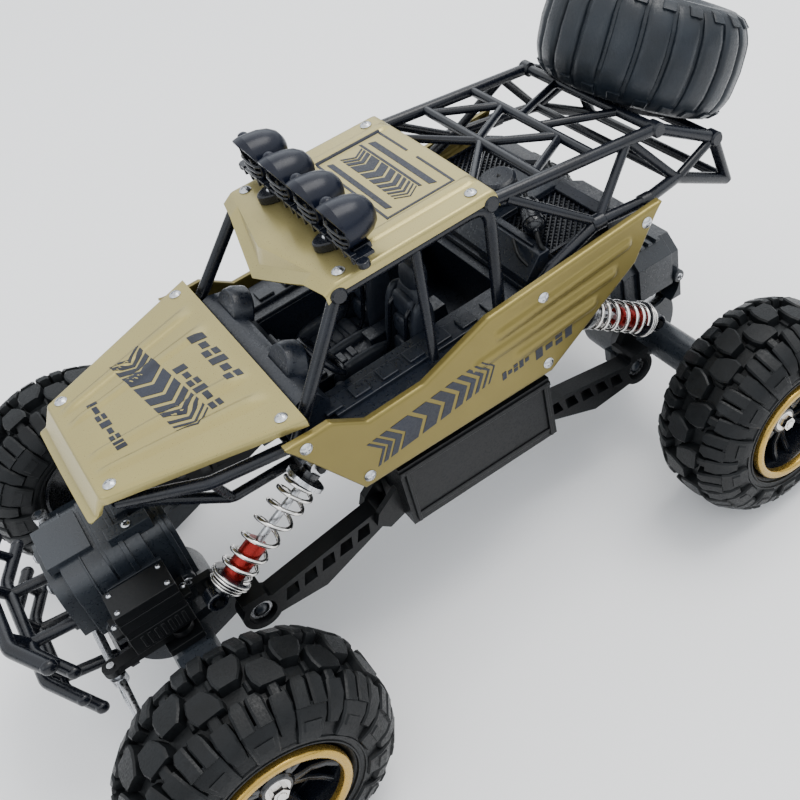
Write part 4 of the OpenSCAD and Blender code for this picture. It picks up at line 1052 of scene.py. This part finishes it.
EYES = {"front": ((55.0, 108.0), (107.0, 76.0), 0.731), "rear": ((-64.0, 108.0), (-107.0, 76.0), 0.644)}
DAMPER_Y = 44.5
for end, (top_eye, low_eye, keep) in EYES.items():
    for label, side in SIDES:
        name = end + "_" + label
        u = np.array([top_eye[0], side * DAMPER_Y, top_eye[1]])
        s = np.array([low_eye[0], side * DAMPER_Y, low_eye[1]])
        length = np.linalg.norm(s - u)
        d = (s - u) / length
        across = np.array([0, side, 0], float)
        third = np.cross(d, across)

        def along(t):
            return u + d * t

        def disc(t0, t1, r, chamfer=0.35):
            return rod(along(t0), along(t1), r, 32, chamfer)
        # spring wire between the seats, with closed end turns
        turns, steps = 7, 30
        x0, x1 = 8.7, length - 11.4
        line = []
        for i in range(turns * steps + 1):
            t = i / (turns * steps)
            ease = t - 0.055 * math.sin(2 * math.pi * t)
            a = 2 * math.pi * turns * t
            line.append(along(x0 + (x1 - x0) * ease) + 6.2 * (math.cos(a) * across + math.sin(a) * third))
        wire = piece("spring_wire_" + name, [tube(line, 0.85, 10, bend=0)], CHROME, name + "_rod",
                     [name + "_spring"], angle=60)
        anchor = along(7.8) + np.array([SHIFT, 0, 0])
        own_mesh(wire)
        eye = lathe([(2.5, -3), (3.6, -3), (4.0, -2.6), (4.0, 2.6), (3.6, 3), (2.5, 3)], 32, closed=True)

        def bored(profile):
            """Ring about the damper's line from (radius, distance back from the lower eye) points."""
            rings = []
            for k in range(32):
                a = 2 * math.pi * k / 32
                radial = math.cos(a) * across + math.sin(a) * third
                rings.append([along(length - back) + radial * r for r, back in profile])
            return skin(rings, caps=False, loop=True)
        sleeve = bored([(1.75, 26), (3.9, 26), (4.1, 25.6), (4.1, 10), (1.75, 10)])
        piece("damper_body_" + name, [sleeve], RED, name + "_damper", [name + "_damper"], angle=40)
        collars = [bored([(1.75, 10.6), (7.4, 10.6), (7.7, 10.25), (7.7, 8.75), (7.4, 8.4), (1.75, 8.4)]),
                   disc(length - 7.8, length - 5.4, 6.5), moved(eye, s),
                   rod(along(length - 8.5), along(length - 3.2), 3.6, 28, 0.3)]
        piece("damper_collars_" + name, collars, GLOSS, name + "_damper", angle=40)
        rings_shiny = []
        for t, r in ((length - 10.0, 7.6), (length - 8.9, 7.6), (length - 7.3, 6.4), (length - 6.2, 6.4)):
            centre = along(t)
            loop = [centre + r * (math.cos(a) * across + math.sin(a) * third) for a in np.arange(48) * math.pi / 24]
            rings_shiny.append(tube(loop, 0.36, 8, loop=True))
        piece("damper_rings_" + name, rings_shiny, CHROME, name + "_damper", angle=60)
        piece("damper_cap_" + name, [disc(5.8, 7.9, 7.6), disc(2.6, 6.0, 3.9)], GLOSS, name + "_rod", angle=40)


# ---------------------------------------------------------------- gear cases and bumper

def case_outline(half, h, r, steps=6):
    """Housing outline, Y against height, with rounded upper edges."""
    pts = [(-half, 0), (half, 0)]
    pts += [(half - r + r * math.cos(a), h - r + r * math.sin(a)) for a in np.linspace(0, math.pi / 2, steps)]
    pts += [(-half + r + r * math.cos(a), h - r + r * math.sin(a)) for a in np.linspace(math.pi / 2, math.pi, steps)]
    return pts


BASE = AXLE_Z + 17.6     # foot of both axles' covers


def front_cover():
    parts = []

    def slab(x0, x1, half, top, r):
        parts.append(prism([(y, BASE + z) for y, z in case_outline(half, top - BASE, r)], x0, x1, "YZ"))
    for shell in ((106.5, 118, 19.0, 97.5, 8), (117.6, 131, 21.0, 99.0, 9), (130.6, 132.2, 20.0, 98.0, 9),
                  (131.8, 146.5, 21.4, 96.5, 10), (146.1, 152.0, 17.0, 93.0, 10)):
        slab(*shell)
    # belts and seams
    for belt in ((108.5, 110.5, 20.2, 98.6, 8.5), (123.5, 125.5, 21.9, 99.6, 9.4), (138.5, 139.3, 21.9, 97.0, 10.3)):
        slab(*belt)
    for y in (-14, 14):
        parts.append(box(112, 128, y - 3.0, y + 3.0, 96, 101.4))
    parts.append(box(110, 122, -6, 6, 97, 100.6))
    parts.append(box(133.5, 150, -11, 11, 94.5, 98.3))
    for s in (-1, 1):
        for x in (112, 141):
            parts.append(rod((x, s * 16, BASE + 3), (x, s * 23.4, BASE + 3), 3.4, 24, 0.4))
        parts.append(side_box(s, 116, 137, 20.5, 22.4, BASE + 8, BASE + 20))
        parts.append(rod((150.5, s * 13, BASE + 5), (153.4, s * 13, BASE + 5), 3.0, 20, 0.4))
        parts.append(rod((150.0, s * 9, BASE + 22), (153.0, s * 9, BASE + 22), 2.6, 20, 0.4))
    return parts


piece("front_case_cover", front_cover(), CASE, "front_axle", ["front_gear_cover"], bevel=0.5, angle=40)
front_screws = [((153.3, s * 13, BASE + 5), "Y", 90) for s in (-1, 1)]
front_screws += [((152.9, s * 9, BASE + 22), "Y", 90) for s in (-1, 1)]
front_screws += [((x, s * 23.3, BASE + 3), "X", -90 * s) for x in (112, 141) for s in (-1, 1)]
front_screws += [((120, s * 14, 101.3), "Z", 30) for s in (-1, 1)]
heads, marks = screws_at(front_screws, 1.9)
piece("front_case_screws", heads, STEEL, "front_axle", angle=40)
# the screws' dark cross bars are painted shade for their recesses
piece("front_case_screw_painted_shade", marks, PRINT_AND_PAINTED_SHADE, "front_axle")

# steering servo: case in three shells with seams, ears, cooling ribs and the shaft below
servo = [box(116.2, 138.8, 27.7, 40.8, 68.4, 89.6), box(116, 139, 27.5, 41, 68, 76.9),
         box(116, 139, 27.5, 41, 80.3, 85.2), box(116, 139, 27.5, 41, 85.7, 90),
         box(113, 142, 29.5, 39.5, 78, 80), box(116, 130, 29, 41, 56.8, 60)]
servo += [box(118.2 + 2.6 * k, 119.6 + 2.6 * k, 40.6, 41.3, 69.4, 75.6) for k in range(7)]
servo += [rod((122, 35, 60), (122, 35, 68.2), 2.0, 24), rod((122, 35, 66.4), (122, 35, 68.2), 4.4, 28, 0.4)]
piece("servo_case", servo, PLASTIC, "front_axle", ["steering_servo"], bevel=0.55)
heads, marks = screws_at([((x, 34.5, 80), "Z", 25) for x in (114.5, 140.5)], 1.4)
for x, y in ((118.2, 29.6), (136.8, 29.6), (118.2, 38.9), (136.8, 38.9)):
    for target, shape in zip((heads, marks), screw_head(1.1)):
        target.append(moved(spun(shape, "Z", 40), (x, y, 89.95)))
piece("servo_screws", heads, STEEL, "front_axle", angle=40)
# the screws' dark cross bars are painted shade for their recesses
piece("servo_screw_painted_shade", marks, PRINT_AND_PAINTED_SHADE, "front_axle")


def rear_cover():
    """Lower housing with a louvred top and chamfered facets."""
    parts = []

    def slab(x0, x1, half, top, cut):
        h = top - BASE
        outline = [(-half, 0), (half, 0), (half, h - cut), (half - cut, h), (-half + cut, h), (-half, h - cut)]
        parts.append(prism([(y, BASE + z) for y, z in outline], -x1, -x0, "YZ"))
    for shell in ((104, 120, 19, 87.5, 6), (119.6, 140, 21.2, 90.2, 7), (139.6, 147, 18, 87, 7),
                  (111, 113, 20.4, 88.8, 6.5)):
        slab(*shell)
    for s in (-1, 1):
        for k in range(4):
            x = -(121.5 + k * 4.6)
            parts.append(prism([(x - 1.6, 90), (x + 1.6, 90), (x + 1.0, 91.9), (x - 1.6, 91.2)],
                               min(s * 3, s * 17), max(s * 3, s * 17), "XZ"))
        for x in (-109, -143):
            parts.append(rod((x, s * 16, BASE + 3), (x, s * 22.6, BASE + 3), 3.2, 24, 0.4))
        parts.append(rod((-150.0, s * 12, BASE + 6), (-146.0, s * 12, BASE + 6), 2.8, 20, 0.4))
    parts.append(box(-112, -106, -7, 7, 87, 90.5))
    return parts


piece("rear_case_cover", rear_cover(), CASE, "rear_axle", ["rear_gear_cover"], bevel=0.45, angle=30)
heads, marks = screws_at([((-150.0, s * 12, BASE + 6), "Y", -90) for s in (-1, 1)]
                         + [((x, s * 22.5, BASE + 3), "X", -90 * s) for x in (-109, -143) for s in (-1, 1)], 1.8)
piece("rear_case_screws", heads, STEEL, "rear_axle", angle=40)
# the screws' dark cross bars are painted shade for their recesses
piece("rear_case_screw_painted_shade", marks, PRINT_AND_PAINTED_SHADE, "rear_axle")

FRONT_X = AXLE_X + 51
bumper = []
for back, z, r in ((0, 83, 2.8), (5, 74, 2.4), (2, 59, 2.4), (5, 50, 2.4)):
    x = FRONT_X - back
    bumper.append(tube([(x - 9, -37, z), (x, -20, z), (x, 20, z), (x - 9, 37, z)], r, 18, bend=9))
    for s in (-1, 1):
        bumper.append(moved(cushion((0, 0, 0), (2.1 * r, 1.6 * r, 2.1 * r), 2.2, 7), (x - 9, s * 37, z)))
for y in (-14, 14):
    bumper += [tube([(FRONT_X, y, 83), (FRONT_X - 5, y, 74), (FRONT_X - 2, y, 59), (FRONT_X - 5, y, 50)], 2.2, bend=3),
               tube([(FRONT_X - 5, y, 74), (152, y, 72)], 2.3), tube([(FRONT_X - 5, y, 50), (143, y * 1.1, 45)], 2.3)]
for y in (-31, 31):
    bumper += [tube([(FRONT_X - 6, y, 83), (FRONT_X - 11, y, 74)], 1.8),
               tube([(FRONT_X - 8, y, 59), (FRONT_X - 11, y, 50)], 1.8)]
bumper.append(prism([(142, 40), (145, 40), (146.5, 44), (146.5, 50), (145, 52), (142, 52)], -20, 20, "XZ"))
piece("bull_bar", bumper, CAGE, "front_axle", ["front_bumper"], angle=42)


# ---------------------------------------------------------------- cockpit

# floor pan with walls, and the deck round it
tub = [box(*b) for b in ((-44, 46, -30.8, 30.8, 95.2, 97.6), (-44, -42.2, -30.8, 30.8, 97, 123),
                         (44.2, 46.0, -30.8, 30.8, 97, 123), (-44, 46, -30.8, -29.0, 97, 123),
                         (-44, 46, 29.0, 30.8, 97, 123), (-58, 60, -52, -29.2, 122, 124.5),
                         (-58, 60, 29.2, 52, 122, 124.5), (-58, -42.2, -30, 30, 122, 124.5),
                         (44.2, 60, -30, 30, 122, 124.5))]
for s in (-1, 1):
    tub.append(box(-40, 40, s * 40 - 5, s * 40 + 5, 124.2, 126.2))
    tub += [box(x, x + 7, s * 40 - 3.4, s * 40 + 3.4, 126, 127.4) for x in range(-36, 40, 12)]
# tunnel between the seats, with a row of switches
tub += [box(-30, 42, -4.5, 4.5, 97, 108), box(-22, 6, -3.8, 3.8, 107, 112)]
tub += [box(x, x + 3, -3.2, 3.2, 107.5, 109.6) for x in range(12, 28, 5)]
tub += [box(x, x + 1, s * 17 - 11, s * 17 + 11, 97.4, 98.4) for s in (-1, 1) for x in range(-20, 33, 13)]
upper("cockpit_floor", tub, COCKPIT, ["cockpit_tub"], bevel=0.5)

DIAL_YS, DIAL_X, DIAL_Z, DIAL_TURN = (-27, 19), 43, 136, 150
outline = [(44, 122), (58, 122), (58, 131), (54, 136.5), (48, 138.4), (42, 136.8), (39, 131), (40, 126)]
dash = [prism(outline, -41.5, 41.5, "XZ")]
for y in DIAL_YS:
    dash.append(moved(spun(lathe([(0.01, -4), (8.2, -4), (9.4, -1), (9.4, 3.5), (8.4, 4.4), (7.6, 3.4), (7.4, 1.0),
                                  (0.01, 1.0)], 36, axis="X"), "Y", DIAL_TURN), (DIAL_X, y, DIAL_Z)))
dash.append(box(38, 44, -9, 9, 108, 131))
dash += [box(37, 39, -7, 7, z, z + 3) for z in (112, 117, 122)]
for y in (-3.5, 3.5):
    dash.append(moved(spun(lathe([(0.01, -1), (2.6, -1), (2.9, 1.2), (2.3, 1.9), (0.01, 1.9)], 24, axis="X"),
                           "Y", 180), (38.4, y, 127.5)))
# gear lever, its knob, and the shelf under the windscreen
dash += [tube([(30, 0, 110), (33, 0, 117)], (1.2, 0.8), 12), cushion((33.4, 0, 118.6), (4.4, 4.4, 4.4), 2.2, 7),
         prism([(58, 124), (66, 124), (66, 126), (58, 133)], -36, 36, "XZ")]
upper("dashboard", dash, COCKPIT, bevel=0.7, angle=40)

gauges = []
for y in DIAL_YS:
    for dy in (-2.8, 2.8):
        gauges.append(moved(spun(lathe([(0.01, 1.3), (1.9, 1.3), (2.4, 1.0), (2.4, 0.4), (0.01, 0.4)], 28, axis="X"),
                                 "Y", DIAL_TURN), (DIAL_X, y + dy, DIAL_Z)))
upper("gauges", gauges, STEEL, angle=50)

BACK_LEAN, BACK_FOOT = -16, (-6, 0, 98)
seats, piping = [], []
for y in (-17, 17):
    seat = [cushion((12, 0, 101.5), (30, 17, 11), 3.2)]
    for s in (-1, 1):
        seat.append(spun(cushion((12, s * 9.2, 104.0), (30, 5.2, 14), 2.8), "X", -8 * s, (12, s * 9.2, 97)))
    seat.append(cushion((26, 0, 103.5), (6, 19, 10), 3.0))
    back = [cushion((-3, 0, 120), (8, 18, 40), 3.4), cushion((-1.5, -9.6, 118), (10.5, 4.8, 34), 2.8),
            cushion((-1.5, 9.6, 118), (10.5, 4.8, 34), 2.8), cushion((-3.2, 0, 141.5), (8, 14, 13), 2.8)]
    back += [cushion((0.6, 0, z), (5, 14.5, 9), 3.0) for z in (109, 119.5, 130)]
    for k in range(3):
        seat.append(cushion((6 + k * 7, 0, 106.4), (5.8, 13.5, 3.2), 2.8, 7))
    seat += [spun(b, "Y", BACK_LEAN, BACK_FOOT) for b in back]
    seats += [moved(p, (0, y, 0)) for p in seat]
    for s in (-1, 1):
        line = [(-1.6, s * 5.6, 133.5), (3.2, s * 6.0, 128), (3.6, s * 6.2, 110), (6, s * 6.4, 104)]
        piping.append(moved(spun(tube(line, 0.9, 8, bend=4), "Y", BACK_LEAN, BACK_FOOT), (0.6, y, 0)))
upper("bucket_seats", seats, SEAT, angle=60)
upper("seat_belts", piping, CAGE, angle=60)


# ---------------------------------------------------------------- engine bay

FAN_AT = (-70, 0, 137.4)
bay = [box(-104, -58, -31, 31, 120, 124.8), box(-104, -46, -47, 47, 124.8, 127.2)]
bay.append(prism([(-100, 127), (-48, 127), (-48, 129.5), (-56, 137.6), (-88, 137.6), (-100, 131)], -12, 12, "XZ"))
for s in (-1, 1):
    y0, y1 = (12, 45) if s > 0 else (-45, -12)
    bay.append(prism([(-60, 127), (-47, 127), (-47, 131), (-55, 139), (-60, 139)], y0, y1, "XZ"))
    for k in range(3):
        x = -57.2 + k * 3.0
        bay.append(spun(box(x - 0.5, x + 0.5, y0 + 4, y1 - 6, 136.5 - k * 2.2, 140.2 - k * 2.4), "Y", 18,
                        (x, 0, 138)))
    bay.append(prism([(-103, 127), (-88, 127), (-88, 136.5), (-92, 138), (-103, 132)], y0, y1, "XZ"))
bay.append(moved(lathe([(0.01, 0), (8.4, 0), (8.4, 1.5), (7.2, 2.2), (7.2, 6.5), (8.0, 7.2), (8.0, 9), (6.6, 10),
                        (0.01, 10)], 40, axis="Z"), FAN_AT))
for k in range(16):
    bay.append(moved(spun(box(-0.4, 0.4, 7.0, 7.9, 2.6, 6.8), "Z", k * 22.5), FAN_AT))
for y in (-36, 36):
    for k in range(4):
        bay.append(box(-86 + k * 0.01, -62, y - 7 + k * 4, y - 5.4 + k * 4, 127, 129.2))
upper("engine_deck", bay, COCKPIT, ["engine_cover"], bevel=0.5)

# crossed wires, each cut where it leaves the frame round them
MESH_LOW_X, MESH_HIGH_X, MESH_Z = -87.5, -60.5, 134.6
mesh_bars = []
for s in (-1, 1):
    y0, y1 = sorted((s * 13, s * 43))
    for lean in (-1, 1):
        for k in range(-9, 22):
            x_a, x_b = -88 + k * 3.0, -88 + k * 3.0 + lean * 30
            ts = [(x_lim - x_a) / (x_b - x_a) for x_lim in (MESH_LOW_X, MESH_HIGH_X)]
            t0, t1 = max(0, min(ts)), min(1, max(ts))
            if t1 - t0 < 0.05:
                continue
            a, b = ((x_a + (x_b - x_a) * t, y0 + (y1 - y0) * t, MESH_Z + 0.4 * lean) for t in (t0, t1))
            mesh_bars.append(rod(a, b, 0.55, 6))
    for y in (y0 - 0.6, y1 + 0.6):
        mesh_bars.append(box(-88.5, -59.5, y - 0.7, y + 0.7, 133.2, 136.2))
    for x in (-88.5, -59.8):
        mesh_bars.append(box(x - 0.6, x + 0.6, y0 - 1, y1 + 1, 133.2, 136.2))
upper("engine_mesh", mesh_bars, CAGE, angle=40)

CANISTER_AT, CANISTER_TURN = (-66, 27, 142.5), 62
canister = [moved(spun(lathe([(0.01, -9), (3.0, -9), (4.1, -7.6), (4.1, 7.6), (3.0, 9), (1.4, 9.6), (1.4, 12),
                              (0.01, 12)], 32, axis="X"), "Z", CANISTER_TURN), CANISTER_AT)]
for k in (-5.5, 5.5):
    canister.append(moved(spun(lathe([(4.0, k - 0.8), (4.6, k - 0.8), (4.6, k + 0.8), (4.0, k + 0.8)], 32, closed=True,
                                     axis="X"), "Z", CANISTER_TURN), CANISTER_AT))
upper("canister", canister, GLOSS, angle=40)
hose = [tube([(-60.5, 37.5, 142.5), (-57.5, 42.5, 141), (-60, 45, 134), (-70, 43, 129.5), (-80, 40, 129)], 1.0, 12,
             bend=5),
        tube([(-71.5, 16.6, 142.5), (-76, 9, 142), (-74, 4, 144), (-70, 0, 147.4)], 0.9, 12, bend=4),
        tube([(-54, 30, 139.5), (-50, 38, 138), (-52, 44, 132), (-58, 45, 127.6)], 0.8, 10, bend=4)]
upper("hoses", hose, PLASTIC, angle=60)


# ---------------------------------------------------------------- chassis trim

trim = []
for s in (-1, 1):
    trim.append(side_box(s, -38, 29, 57.0, 57.7, 67, 69))
    trim.append(side_box(s, -40, 31, 45.5, 58.0, 91.5, 93.5))
    for x in (-38, 27.5):
        trim.append(side_box(s, x, x + 1.6, 57.0, 58.2, 65, 93))
    for x in range(18, -31, -12):
        trim.append(side_box(s, x, x + 5, 48, 55, 94.6, 95.6))
piece("side_box_trim", trim, PLASTIC, "chassis", bevel=0.35)


# ---------------------------------------------------------------- CAD nodes that stay

STAYING = {
    PLASTIC: ["chassis_tub", "battery_cover", "steering_lever", "front_left_arm", "front_right_arm",
              "rear_left_arm", "rear_right_arm"],
    CASE: ["front_gear_case", "rear_gear_case", "left_knuckle", "right_knuckle"],
    CAGE: ["steering_wheel"],
    STEEL: ["panel_screws", "front_motor", "rear_motor", "front_link_bush", "rear_link_bush", "tie_rod",
            "front_left_rod", "front_right_rod", "rear_left_rod", "rear_right_rod", "front_drive_shaft",
            "rear_drive_shaft"],
    BRASS: ["front_pinion", "rear_pinion"],
    BATTERY: ["battery_pack"],
    BOARD: ["receiver_board"],
    SWITCH_RED: ["power_switch"],
}
for mat, names in STAYING.items():
    for name in names:
        finish_node(name, mat)
